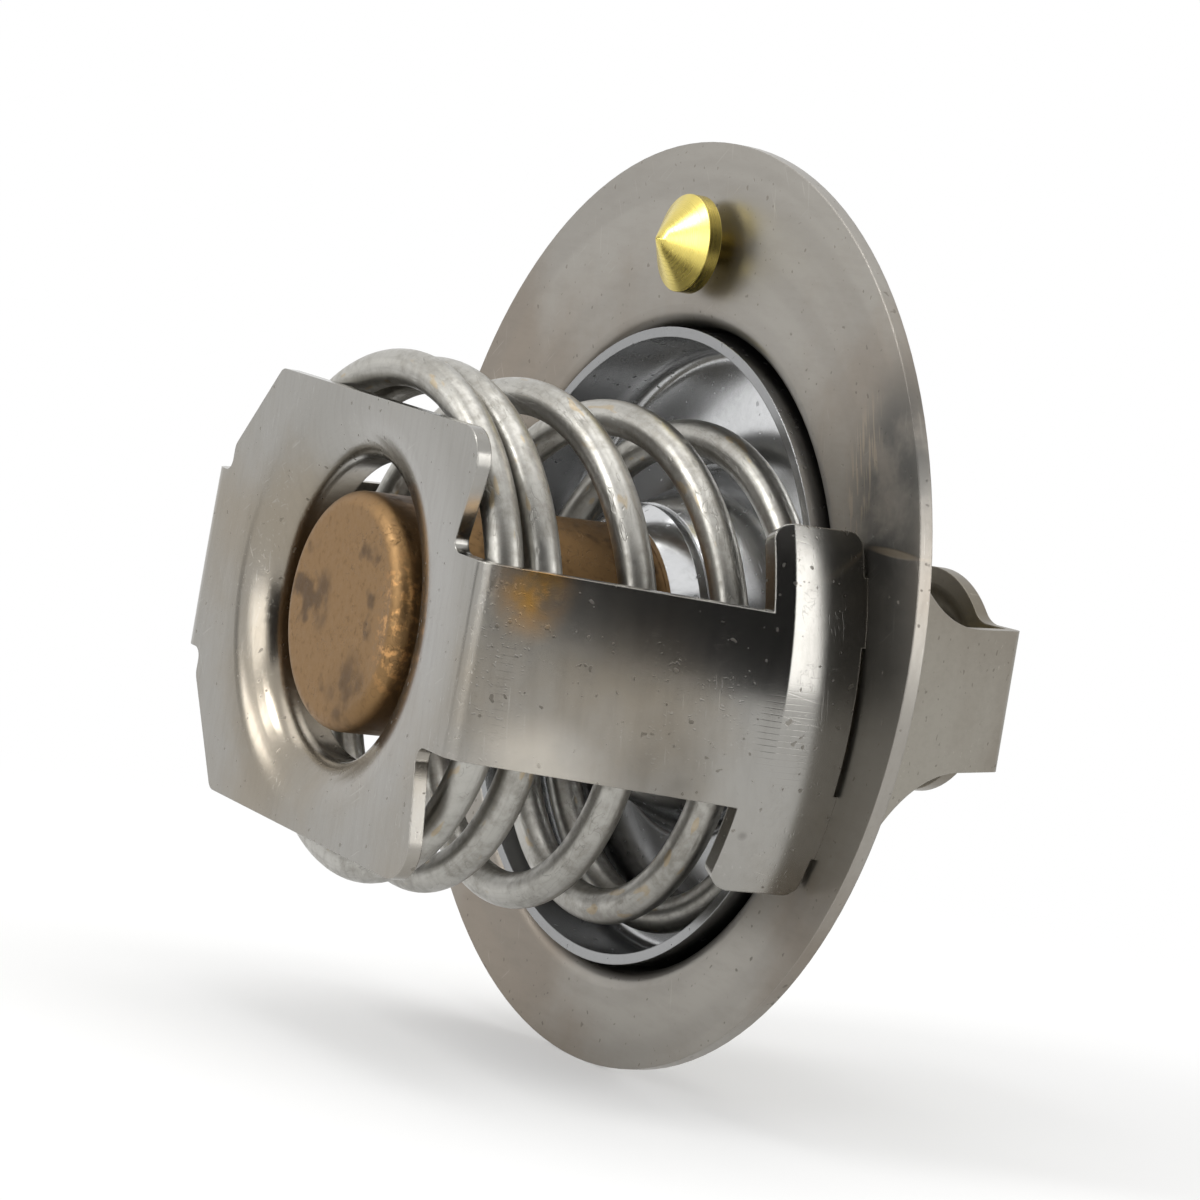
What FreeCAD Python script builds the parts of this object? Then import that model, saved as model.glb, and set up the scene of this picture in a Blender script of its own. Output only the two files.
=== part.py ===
import FreeCAD, Part
import math
import os
import re
import Sketcher
from FreeCAD import Placement, Rotation, Vector

os.makedirs("parts", exist_ok=True)

# Wax thermostat of a car engine. X is the valve axis and points to the outlet, the engine side is -X,
# and Z points up through the jiggle pin. The origin is the centre of the flange on its engine-side face.
# The valve and its frames share one axis, which lies below the flange centre by axis_drop.

SIZES = [
    ("flange_diameter", 54.0, "mounting flange, outer diameter"),
    ("flange_sheet", 0.8, "mounting flange, sheet thickness"),
    ("axis_drop", 2.5, "valve axis below the flange centre"),
    ("bore_radius", 18.9, "drawn bore in the flange, inner radius"),
    ("seat_depth", 5.0, "engine-side face of the flange to the valve seat"),
    ("seat_radius", 15.5, "inner radius of the seat"),
    ("flange_bend", 0.3, "inside bend radius of the drawn flange"),
    ("valve_clearance", 0.3, "valve rim to bore, radial"),
    ("valve_sheet", 0.6, "valve cup, sheet thickness"),
    ("rim_stand", 0.6, "valve rim proud of the engine-side face"),
    ("valve_bend", 0.9, "inside bend radius of the valve cup"),
    ("hub_base_radius", 10.7, "bell of the valve cup at its floor, outer radius"),
    ("hub_top_radius", 8.3, "bell of the valve cup at its top, outer radius"),
    ("hub_height", 5.6, "seat plane to the top of the bell"),
    ("capsule_radius", 6.8, "copper capsule, outer radius"),
    ("capsule_wall", 0.6, "copper capsule, wall"),
    ("capsule_reach", 20.0, "engine-side face of the flange to the capsule end"),
    ("capsule_edge", 0.9, "rounding of the capsule end"),
    ("capsule_fit", 0.03, "capsule to the parts around it, radial"),
    ("crimp_clearance", 0.2, "crimped mouth of the capsule to the bell, radial"),
    ("crimp_lip", 0.5, "crimped mouth, thickness of its lip"),
    ("collar_width", 1.9, "retaining collar, length"),
    ("collar_radius", 8.2, "retaining collar, largest radius"),
    ("collar_nose", 7.2, "retaining collar, radius at its free end"),
    ("sleeve_rim", 0.6, "rubber sleeve, thickness of its clamped rim"),
    ("sleeve_wall", 1.3, "rubber sleeve, wall"),
    ("sleeve_length", 13.0, "rubber sleeve, length of its finger"),
    ("sleeve_gap", 0.1, "piston to rubber sleeve"),
    ("wax_gap", 0.02, "wax to the walls around it"),
    ("washer_thickness", 0.4, "back-up washer, thickness"),
    ("guide_flange", 1.4, "piston guide, thickness of its flange"),
    ("guide_length", 11.0, "piston guide, length past its flange"),
    ("guide_radius", 4.4, "piston guide, outer radius"),
    ("guide_tip_radius", 3.2, "piston guide, radius at its tip"),
    ("guide_taper", 2.5, "piston guide, length of its tapered tip"),
    ("piston_radius", 1.7, "piston, radius"),
    ("piston_clearance", 0.04, "piston to guide, radial"),
    ("piston_inset", 12.2, "piston inside the rubber sleeve"),
    ("piston_chamfer", 0.4, "piston, chamfer at its ends"),
    ("cage_depth", 20.0, "engine-side face of the flange to the outer face of the lower plate"),
    ("cage_sheet", 0.85, "lower frame, sheet thickness"),
    ("cage_turn", 2.2, "turn of the lower frame about the valve axis, degrees"),
    ("plate_top", 12.1, "lower plate, valve axis to its upper edge"),
    ("plate_bottom", 12.9, "lower plate, valve axis to its lower edge"),
    ("near_ear", 13.1, "lower plate, valve axis to the end of its near ears"),
    ("plate_corner", 2.0, "lower plate, corner radius of its near ears"),
    ("far_ear", 16.5, "lower plate, valve axis to the end of its far ears"),
    ("far_ear_top", 12.1, "lower plate, valve axis to the start of the cut corner of its far ears"),
    ("far_ear_side", 6.9, "lower plate, half of the width where the cut corner ends"),
    ("far_corner", 0.8, "lower plate, corner radius of its far ears"),
    ("notch_length", 1.6, "relief notch beside the near leg, length"),
    ("notch_rounding", 0.7, "relief notch, radius of its inner corner"),
    ("relief_rounding", 0.7, "relief beside the far leg, radius of its inner corner"),
    ("leg_half_width", 5.35, "lower frame leg, half of its width"),
    ("near_root", 15.3, "valve axis to the near leg at the lower plate"),
    ("far_root", 18.7, "valve axis to the far leg at the lower plate"),
    ("leg_bend", 0.6, "inside bend radius of the leg"),
    ("foot_length", 5.4, "T-shaped foot, length along the axis"),
    ("foot_rise", 1.0, "T-shaped foot, length of its sloping part"),
    ("foot_radius", 22.9, "T-shaped foot, outer radius about the valve axis"),
    ("foot_half_width", 10.1, "T-shaped foot, half of its width"),
    ("foot_corner", 0.8, "T-shaped foot, corner radius"),
    ("tab_height", 0.25, "weld tab of the foot, height"),
    ("tab_inner", 4.1, "weld tab, start from the middle of the foot"),
    ("tab_outer", 7.8, "weld tab, end from the middle of the foot"),
    ("hole_shift", 1.3, "hole of the lower plate, its centre beside the valve axis"),
    ("dish_radius", 10.9, "dish around the hole, radius"),
    ("dish_depth", 1.07, "dish around the hole, depth"),
    ("dish_rounding", 4.0, "dish around the hole, rounding of its rim"),
    ("hole_radius", 8.6, "rolled-in hole of the lower plate, radius"),
    ("hole_roll", 0.85, "rolled-in hole, inside radius of the roll"),
    ("hole_depth", 3.6, "rolled-in hole, outer face of the plate to the end of its lip"),
    ("wire_diameter", 2.1, "spring wire"),
    ("coil_diameter", 30.0, "spring, outer diameter"),
    ("coil_turns", 4.9, "spring, number of turns"),
    ("closed_turns_start", 1.1, "spring, closed turns at the lower plate"),
    ("closed_turns_end", 0.8, "spring, closed turns in the valve cup"),
    ("closed_gap", 0.03, "spring, gap between closed turns"),
    ("coil_lean", 1.7, "spring, drop of its centre at the valve end"),
    ("coil_start", 53.0, "spring, angle of the wire's end at the lower plate, degrees"),
    ("pin_edge", 6.1, "jiggle pin, its axis to the edge of the flange"),
    ("pin_radius", 1.0, "jiggle pin, shank radius"),
    ("pin_clearance", 0.3, "jiggle pin to its hole, radial"),
    ("pin_head_radius", 2.85, "jiggle pin, head radius"),
    ("pin_band", 0.8, "jiggle pin, cylindrical band of its head"),
    ("pin_cone", 1.9, "jiggle pin, height of its cone"),
    ("pin_stand", 0.9, "jiggle pin, head to the engine-side face at rest"),
    ("pin_play", 1.1, "jiggle pin, tail to the outlet-side face at rest"),
    ("pin_tail_radius", 1.7, "jiggle pin, radius of its peened tail"),
    ("pin_tail", 0.7, "jiggle pin, thickness of its peened tail"),
    ("bridge_height", 20.4, "engine-side face of the flange to the outer face of the bridge"),
    ("bridge_sheet", 0.85, "outlet bridge, sheet thickness"),
    ("bridge_half_width", 4.2, "outlet bridge, half of the strap's width"),
    ("shoulder", 8.8, "outlet bridge, valve axis to its shoulder"),
    ("bridge_bend", 0.7, "outlet bridge, inside bend radius"),
    ("foot_seat", 16.4, "outlet bridge, valve axis to the leg at the seat"),
    ("bridge_foot_radius", 18.4, "outlet bridge, outer radius of its feet"),
    ("flare_length", 8.0, "outlet bridge, length of the flare along the axis"),
    ("flare_half_width", 7.4, "outlet bridge, half of the foot's width"),
    ("disc_radius", 6.8, "outlet bridge, radius of its round centre"),
    ("disc_blend", 2.0, "outlet bridge, rounding between strap and round centre"),
    ("dome_base", 5.3, "outlet bridge, outer radius at the base of the dome"),
    ("dome_top", 3.1, "outlet bridge, outer radius at the top of the dome"),
    ("dome_height", 3.3, "outlet bridge, height of the dome"),
    ("dome_rounding", 1.0, "outlet bridge, inside rounding of the dome"),
]

doc = FreeCAD.newDocument("thermostat")
sheet = doc.addObject("Spreadsheet::Sheet", "Sizes")
for row, (alias, size, note) in enumerate(SIZES, start=1):
    sheet.set(f"A{row}", note)
    sheet.set(f"B{row}", str(size))
    sheet.setAlias(f"B{row}", alias)
doc.recompute()

ALIASES = {alias for alias, size, note in SIZES}
AXIAL_PLANE = "XY_Plane"
SIDE_PLANE = "XZ_Plane"
CROSS_PLANE = "YZ_Plane"
ACROSS = {AXIAL_PLANE: "y", SIDE_PLANE: "x", CROSS_PLANE: "x"}
CRIMP = "( hub_top_radius - valve_sheet - crimp_clearance )"
pieces = []


def scoped(expression):
    """Spell out the sheet's name before every alias in an expression."""
    return re.sub("[a-z_]+", lambda word: f"Sizes.{word[0]}" if word[0] in ALIASES else word[0], expression)


def size_of(expression):
    """Number that an expression in the sheet's aliases stands for."""
    return float(sheet.evalExpression(scoped(expression)))


def new_body(name):
    """Body on the valve axis."""
    body = doc.addObject("PartDesign::Body", name)
    body.Label = name
    body.setExpression("Placement.Base.z", scoped("0 - axis_drop"))
    pieces.append(body)
    return body


def new_sketch(body, name, role, offset="0", across="0"):
    """Sketch on one of the body's own planes, moved along the plane's normal and across, along Y."""
    sketch = body.newObject("Sketcher::SketchObject", name)
    plane = [feature for feature in body.Origin.OriginFeatures if feature.Role == role][0]
    sketch.AttachmentSupport = [(plane, "")]
    sketch.MapMode = "FlatFace"
    sketch.setExpression("AttachmentOffset.Base.z", scoped(offset))
    sketch.setExpression(f"AttachmentOffset.Base.{ACROSS[role]}", scoped(across))
    return sketch


def bind(sketch, kind, expression, side, end):
    """Tie one coordinate of a point of the sketch to an expression, measured from the sketch's origin."""
    index = sketch.addConstraint(Sketcher.Constraint(kind, -1, 1, side, end, size_of(expression)))
    sketch.setExpression(f"Constraints[{index}]", scoped(expression))


def arc_between(start, end, centre_across):
    """Arc of less than half a turn between two points, whose centre has a given place across."""
    rise = end.y - start.y
    reach = (end.x - centre_across) ** 2 - (start.x - centre_across) ** 2
    centre = Vector(centre_across, (reach + end.y ** 2 - start.y ** 2) / (2 * rise), 0)
    outward = ((start + end) / 2 - centre).normalize()
    return Part.Arc(start, centre + outward * (start - centre).Length, end)


def draw_outline(sketch, corners):
    """Closed outline through corners given as pairs of expressions, for their places across and along.

    A corner's third expression makes the side after it an arc: the place across of the arc's centre.
    """
    count = len(corners)
    places = [Vector(size_of(corner[0]), size_of(corner[1]), 0) for corner in corners]
    sides = []
    for index, corner in enumerate(corners):
        start = places[index]
        end = places[(index + 1) % count]
        arc = len(corner) > 2
        curve = arc_between(start, end, size_of(corner[2])) if arc else Part.LineSegment(start, end)
        side = sketch.addGeometry(curve, False)
        backwards = (sketch.getPoint(side, 1) - start).Length > (sketch.getPoint(side, 2) - start).Length
        sides.append((side, 2, 1) if backwards else (side, 1, 2))
    for index, corner in enumerate(corners):
        side, first, last = sides[index]
        after, after_first = sides[(index + 1) % count][:2]
        sketch.addConstraint(Sketcher.Constraint("Coincident", side, last, after, after_first))
        bind(sketch, "DistanceX", corner[0], side, first)
        bind(sketch, "DistanceY", corner[1], side, first)
    for index, corner in enumerate(corners):
        if len(corner) > 2:
            bind(sketch, "DistanceX", corner[2], sides[index][0], 3)


def draw_circle(sketch, radius, along="0"):
    """Circle centred on the sketch's upright axis."""
    centre = Vector(0, size_of(along), 0)
    index = sketch.addGeometry(Part.Circle(centre, Vector(0, 0, 1), size_of(radius)), False)
    bind(sketch, "DistanceX", "0", index, 3)
    bind(sketch, "DistanceY", along, index, 3)
    bound = sketch.addConstraint(Sketcher.Constraint("Radius", index, size_of(radius)))
    sketch.setExpression(f"Constraints[{bound}]", scoped(radius))


def revolve(body, name, corners, kind="PartDesign::Revolution", angle="360", across="0"):
    """Full or symmetric partial turn of an axial outline about the valve axis, or about a line beside it."""
    sketch = new_sketch(body, f"{name}_section", AXIAL_PLANE, across=across)
    draw_outline(sketch, corners)
    feature = body.newObject(kind, name)
    feature.Profile = sketch
    feature.ReferenceAxis = (sketch, ["H_Axis"])
    feature.Midplane = angle != "360"
    feature.setExpression("Angle", scoped(angle))
    doc.recompute()
    return feature


def extrude(body, name, sketch, length, kind="PartDesign::Pad", symmetric=False, reverse=False):
    """Pad or pocket of a sketch by a bound length."""
    feature = body.newObject(kind, name)
    feature.Profile = sketch
    feature.setExpression("Length", scoped(length))
    feature.SideType = "Symmetric" if symmetric else "One side"
    feature.Reversed = reverse
    before = feature.BaseFeature.Shape.Volume if feature.BaseFeature else 0.0
    doc.recompute()
    if kind == "PartDesign::Pocket" and not feature.Shape.Volume < before:
        raise ValueError(f"{body.Label}: {name} cuts nothing")
    return feature


def round_edges(body, name, wanted, radius):
    """Round the edges of the body's last feature that pass the test."""
    base = body.Tip
    names = [f"Edge{index}" for index, edge in enumerate(base.Shape.Edges, start=1) if wanted(edge)]
    if not names:
        raise ValueError(f"{body.Label}: {name} finds no edge")
    fillet = body.newObject("PartDesign::Fillet", name)
    fillet.Base = (base, names)
    fillet.setExpression("Radius", scoped(radius))
    doc.recompute()
    if "Invalid" in fillet.State:
        raise ValueError(f"{body.Label}: {name} fails on {len(names)} edges")
    return fillet


def ring_at(along, radius, across="0"):
    """Test for full or partial circles about the valve axis, or a line beside it, at a place and radius."""
    place = size_of(along)
    reach = size_of(radius)
    beside = size_of(across)

    def wanted(edge):
        if not isinstance(edge.Curve, Part.Circle):
            return False
        curve = edge.Curve
        off_axis = math.hypot(curve.Center.y - beside, curve.Center.z)
        on_axis = abs(abs(curve.Axis.x) - 1) < 1e-6 and off_axis < 1e-4
        return on_axis and abs(curve.Center.x - place) < 1e-4 and abs(curve.Radius - reach) < 1e-4

    return wanted


def upright_at(along, across):
    """Test for straight edges parallel to Z at a place along the axis, on either side of it."""
    place = size_of(along)
    reach = size_of(across)

    def wanted(edge):
        ends = [vertex.Point for vertex in edge.Vertexes]
        if len(ends) != 2 or abs(ends[0].z - ends[1].z) < 1e-3:
            return False
        return all(abs(end.x - place) < 1e-3 and abs(abs(end.y) - reach) < 1e-3 for end in ends)

    return wanted


def lengthwise_at(places):
    """Test for straight edges parallel to X at any of some places, given as pairs across and up."""
    spots = [(size_of(across), size_of(height)) for across, height in places]

    def wanted(edge):
        ends = [vertex.Point for vertex in edge.Vertexes]
        if len(ends) != 2 or abs(ends[0].x - ends[1].x) < 1e-3:
            return False
        return any(
            all(abs(end.y - across) < 1e-3 and abs(end.z - height) < 1e-3 for end in ends)
            for across, height in spots
        )

    return wanted


def make_mounting_flange():
    """Round sheet plate with a drawn bore that ends in the valve seat, and the jiggle pin's hole."""
    body = new_body("mounting_flange")
    disc = new_sketch(body, "disc_outline", CROSS_PLANE)
    draw_circle(disc, "flange_diameter / 2", "axis_drop")
    extrude(body, "disc", disc, "flange_sheet")
    bore = new_sketch(body, "bore_outline", CROSS_PLANE)
    draw_circle(bore, "bore_radius")
    extrude(body, "bore", bore, "flange_sheet", "PartDesign::Pocket", reverse=True)
    wall = "( bore_radius + flange_sheet )"
    revolve(body, "drawn_seat", [
        ("flange_sheet / 2", "bore_radius"),
        ("seat_depth", "bore_radius"),
        ("seat_depth", "seat_radius"),
        ("seat_depth + flange_sheet", "seat_radius"),
        ("seat_depth + flange_sheet", wall),
        ("flange_sheet / 2", wall),
    ])
    bend = "flange_bend + flange_sheet"
    round_edges(body, "outlet_bend", ring_at("flange_sheet", wall), "flange_bend")
    round_edges(body, "face_bend", ring_at("0", "bore_radius"), bend)
    round_edges(body, "seat_bend_inside", ring_at("seat_depth", "bore_radius"), "flange_bend")
    round_edges(body, "seat_bend_outside", ring_at("seat_depth + flange_sheet", wall), bend)
    hole = new_sketch(body, "pin_hole_outline", CROSS_PLANE)
    draw_circle(hole, "pin_radius + pin_clearance", "axis_drop + flange_diameter / 2 - pin_edge")
    extrude(body, "pin_hole", hole, "flange_sheet", "PartDesign::Pocket", reverse=True)
    return body


def make_valve_cup():
    """Shallow drawn cup that closes the seat, with a bell-shaped hub for the capsule."""
    body = new_body("valve_cup")
    rim = "( bore_radius - valve_clearance )"
    top = "( seat_depth - hub_height )"
    revolve(body, "drawn_cup", [
        ("0 - rim_stand", rim),
        ("seat_depth", rim),
        ("seat_depth", "hub_base_radius - valve_sheet"),
        (f"{top} + valve_sheet", "hub_top_radius - valve_sheet"),
        (f"{top} + valve_sheet", "capsule_radius + capsule_fit"),
        (top, "capsule_radius + capsule_fit"),
        (top, "hub_top_radius"),
        ("seat_depth - valve_sheet", "hub_base_radius"),
        ("seat_depth - valve_sheet", f"{rim} - valve_sheet"),
        ("0 - rim_stand", f"{rim} - valve_sheet"),
    ])
    bend = "valve_bend + valve_sheet"
    floor = "seat_depth - valve_sheet"
    round_edges(body, "rim_bend_inside", ring_at(floor, f"{rim} - valve_sheet"), "valve_bend")
    round_edges(body, "rim_bend_outside", ring_at("seat_depth", rim), bend)
    round_edges(body, "bell_base_inside", ring_at(floor, "hub_base_radius"), "valve_bend")
    round_edges(body, "bell_base_outside", ring_at("seat_depth", "hub_base_radius - valve_sheet"), bend)
    return body


def make_wax_capsule():
    """Copper cup, closed on the engine side, whose wide mouth is crimped over the piston guide."""
    body = new_body("wax_capsule")
    shoulder = "( seat_depth - hub_height + valve_sheet )"
    inner = "( capsule_radius - capsule_wall )"
    stack = "( sleeve_rim + washer_thickness + guide_flange )"
    end = f"{shoulder} + crimp_lip + {stack}"
    pocket = f"( {CRIMP} - capsule_wall )"
    revolve(body, "drawn_shell", [
        ("0 - capsule_reach", "0"),
        ("0 - capsule_reach", "capsule_radius"),
        (shoulder, "capsule_radius"),
        (shoulder, CRIMP),
        (f"{end} + crimp_lip", CRIMP),
        (f"{end} + crimp_lip", "guide_radius + capsule_wall * 2"),
        (end, "guide_radius + capsule_wall * 2"),
        (end, pocket),
        (f"{shoulder} + crimp_lip", pocket),
        (f"{shoulder} + crimp_lip", inner),
        ("capsule_wall - capsule_reach", inner),
        ("capsule_wall - capsule_reach", "0"),
    ])
    round_edges(body, "end_rounding", ring_at("0 - capsule_reach", "capsule_radius"), "capsule_edge")
    round_edges(body, "crimp_rounding", ring_at(f"{end} + crimp_lip", CRIMP), "crimp_lip")
    return body


def make_retaining_collar():
    """Polished ring pressed on the capsule against the bell of the valve cup."""
    body = new_body("retaining_collar")
    face = "( seat_depth - hub_height )"
    bore = "capsule_radius + capsule_fit"
    revolve(body, "ring", [
        (face, bore),
        (face, "collar_radius"),
        (f"{face} - collar_width / 3", "collar_radius"),
        (f"{face} - collar_width", "collar_nose"),
        (f"{face} - collar_width", bore),
    ])
    return body


def make_rubber_sleeve():
    """Rubber finger around the piston, closed at its end, with a rim that the guide clamps."""
    body = new_body("rubber_sleeve")
    rim_face = "( seat_depth - hub_height + valve_sheet + crimp_lip )"
    bore = "( piston_radius + sleeve_gap )"
    tip = f"{rim_face} - sleeve_length"
    revolve(body, "finger", [
        (f"{rim_face} + sleeve_rim", bore),
        (f"{rim_face} + sleeve_rim", f"{CRIMP} - capsule_wall"),
        (rim_face, f"{CRIMP} - capsule_wall"),
        (rim_face, f"{bore} + sleeve_wall"),
        (f"{tip} - sleeve_wall", f"{bore} + sleeve_wall"),
        (f"{tip} - sleeve_wall", "0"),
        (tip, "0"),
        (tip, bore),
    ])
    return body


def make_wax_charge():
    """Wax that fills the capsule around the rubber finger."""
    body = new_body("wax_charge")
    rim_face = "( seat_depth - hub_height + valve_sheet + crimp_lip )"
    finger = "( piston_radius + sleeve_gap + sleeve_wall + wax_gap )"
    wall = "( capsule_radius - capsule_wall - wax_gap )"
    floor = "( capsule_wall + wax_gap - capsule_reach )"
    tip = f"{rim_face} - sleeve_length - sleeve_wall - wax_gap"
    revolve(body, "fill", [
        (floor, "0"),
        (floor, wall),
        (f"{rim_face} - wax_gap", wall),
        (f"{rim_face} - wax_gap", finger),
        (tip, finger),
        (tip, "0"),
    ])
    return body


def make_backup_washer():
    """Thin washer between the rubber rim and the guide."""
    body = new_body("backup_washer")
    face = "( seat_depth - hub_height + valve_sheet + crimp_lip + sleeve_rim )"
    bore = "piston_radius + piston_clearance"
    rim = f"{CRIMP} - capsule_wall"
    revolve(body, "washer", [
        (face, bore),
        (face, rim),
        (f"{face} + washer_thickness", rim),
        (f"{face} + washer_thickness", bore),
    ])
    return body


def make_piston_guide():
    """Turned guide of the piston, with a flange under the capsule's crimp and a tapered tip."""
    body = new_body("piston_guide")
    face = "( seat_depth - hub_height + valve_sheet + crimp_lip + sleeve_rim + washer_thickness )"
    bore = "piston_radius + piston_clearance"
    rim = f"{CRIMP} - capsule_wall"
    tip = f"{face} + guide_flange + guide_length"
    revolve(body, "turned_guide", [
        (face, bore),
        (face, rim),
        (f"{face} + guide_flange", rim),
        (f"{face} + guide_flange", "guide_radius"),
        (f"{tip} - guide_taper", "guide_radius"),
        (tip, "guide_tip_radius"),
        (tip, bore),
    ])
    return body


def make_piston():
    """Ground pin from the rubber finger to the dome of the bridge."""
    body = new_body("piston")
    rim_face = "( seat_depth - hub_height + valve_sheet + crimp_lip )"
    inner = f"{rim_face} - piston_inset"
    outer = "bridge_height + dome_height - bridge_sheet"
    revolve(body, "pin", [
        (inner, "0"),
        (inner, "piston_radius - piston_chamfer"),
        (f"{inner} + piston_chamfer", "piston_radius"),
        (f"{outer} - piston_chamfer", "piston_radius"),
        (outer, "piston_radius - piston_chamfer"),
        (outer, "0"),
    ])
    return body


def make_jiggle_pin():
    """Loose brass pin with a pointed head on the engine side and a peened tail on the outlet side."""
    body = new_body("jiggle_pin")
    body.setExpression("Placement.Base.z", scoped("flange_diameter / 2 - pin_edge"))
    back = "( 0 - pin_stand )"
    tail = "( flange_sheet + pin_play )"
    revolve(body, "turned_pin", [
        (f"{back} - pin_band - pin_cone", "0"),
        (f"{back} - pin_band", "pin_head_radius"),
        (back, "pin_head_radius"),
        (back, "pin_radius"),
        (tail, "pin_radius"),
        (tail, "pin_tail_radius"),
        (f"{tail} + pin_tail", "pin_tail_radius"),
        (f"{tail} + pin_tail", "0"),
    ])
    round_edges(body, "tail_rounding", ring_at(f"{tail} + pin_tail", "pin_tail_radius"), "pin_tail / 2")
    return body


def draw_sector(sketch, inner, outer, half_width, side):
    """Piece of a ring about the sketch's origin, on one side of it, with straight ends parallel to Y."""
    reach = size_of(half_width)
    middle = 0 if side > 0 else math.pi
    arcs = []
    for radius in (inner, outer):
        turn = math.asin(reach / size_of(radius))
        circle = Part.Circle(Vector(0, 0, 0), Vector(0, 0, 1), size_of(radius))
        arc = sketch.addGeometry(Part.ArcOfCircle(circle, middle - turn, middle + turn), False)
        sketch.addConstraint(Sketcher.Constraint("Coincident", arc, 3, -1, 1))
        bound = sketch.addConstraint(Sketcher.Constraint("Radius", arc, size_of(radius)))
        sketch.setExpression(f"Constraints[{bound}]", scoped(radius))
        for end, sign in ((1, -side), (2, side)):
            bind(sketch, "DistanceY", f"{sign} * {half_width}", arc, end)
        arcs.append(arc)
    for end in (1, 2):
        places = [sketch.getPoint(arc, end) for arc in arcs]
        line = sketch.addGeometry(Part.LineSegment(places[0], places[1]), False)
        sketch.addConstraint(Sketcher.Constraint("Coincident", line, 1, arcs[0], end))
        sketch.addConstraint(Sketcher.Constraint("Coincident", line, 2, arcs[1], end))


def crossing_at(along, half_width, beyond):
    """Test for edges that cross a strap from side to side at a place along the axis, beyond a distance."""
    place = size_of(along)
    side = size_of(half_width)
    least = size_of(beyond)

    def wanted(edge):
        ends = [vertex.Point for vertex in edge.Vertexes]
        if len(ends) != 2 or abs(ends[0].z + ends[1].z) > 1e-3:
            return False
        return all(
            abs(end.x - place) < 1e-3 and abs(abs(end.z) - side) < 1e-3 and abs(end.y) > least for end in ends
        )

    return wanted


def radial_at(along, angle):
    """Test for straight edges that point at the valve axis at a place along it and at a slant to Y."""
    place = size_of(along)
    slant = math.radians(size_of(angle))

    def wanted(edge):
        ends = [vertex.Point for vertex in edge.Vertexes]
        if len(ends) != 2 or (ends[0] - ends[1]).Length > size_of("cage_sheet") * 2:
            return False
        return all(
            abs(end.x - place) < 1e-3 and abs(math.atan2(abs(end.z), abs(end.y)) - slant) < 1e-3
            for end in ends
        )

    return wanted


def add_leg(body, name, root, side):
    """One leg of the cage from the plate at root to the flange, with its T-shaped foot and weld tabs.

    The side is 1 for +Y and -1 for -Y.
    """
    foot_start = "( 0 - tab_height - foot_length )"
    foot_bend = "( foot_rise - tab_height - foot_length )"
    slope = f"( ( foot_radius - {root} ) / ( cage_depth - tab_height - foot_length + foot_rise ) )"
    across = f"( cage_sheet * sqrt( 1 + {slope} ^ 2 ) )"
    start_radius = f"( foot_radius - {slope} * foot_rise )"
    bend_shift = f"( ( {across} - cage_sheet ) / {slope} )"

    def turn(feature, corners, kind="PartDesign::Revolution", half_width="foot_half_width"):
        sided = [(along, f"{side} * ( {radius} )") for along, radius in corners]
        return revolve(body, f"{name}_{feature}", sided, kind, f"2 * asin( {half_width} / foot_radius )")

    section = new_sketch(body, f"{name}_root_section", CROSS_PLANE, "0 - cage_depth")
    draw_outline(section, [
        (f"{side} * ( {root} - {across} )", "0 - leg_half_width"),
        (f"{side} * {root}", "0 - leg_half_width"),
        (f"{side} * {root}", "leg_half_width"),
        (f"{side} * ( {root} - {across} )", "leg_half_width"),
    ])
    end = new_sketch(body, f"{name}_end_section", CROSS_PLANE, foot_start)
    draw_sector(end, f"( {start_radius} - {across} )", start_radius, "leg_half_width", side)
    leg = body.newObject("PartDesign::AdditiveLoft", f"{name}_leg")
    leg.Profile = section
    leg.Sections = [end]
    leg.Ruled = True
    doc.recompute()
    turn("foot", [
        (foot_start, start_radius),
        (foot_bend, "foot_radius"),
        ("0 - tab_height", "foot_radius"),
        ("0 - tab_height", "foot_radius - cage_sheet"),
        (f"{foot_bend} + {bend_shift}", "foot_radius - cage_sheet"),
        (foot_start, f"{start_radius} - {across}"),
    ])
    turn("tabs", [
        ("0 - tab_height - cage_sheet / 4", "foot_radius - cage_sheet"),
        ("0 - tab_height - cage_sheet / 4", "foot_radius"),
        ("0", "foot_radius"),
        ("0", "foot_radius - cage_sheet"),
    ], half_width="tab_outer")
    turn("tab_gap", [
        ("0 - tab_height", "foot_radius - cage_sheet * 2"),
        ("0 - tab_height", "foot_radius + cage_sheet"),
        ("tab_height", "foot_radius + cage_sheet"),
        ("tab_height", "foot_radius - cage_sheet * 2"),
    ], "PartDesign::Groove", "tab_inner")


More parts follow.
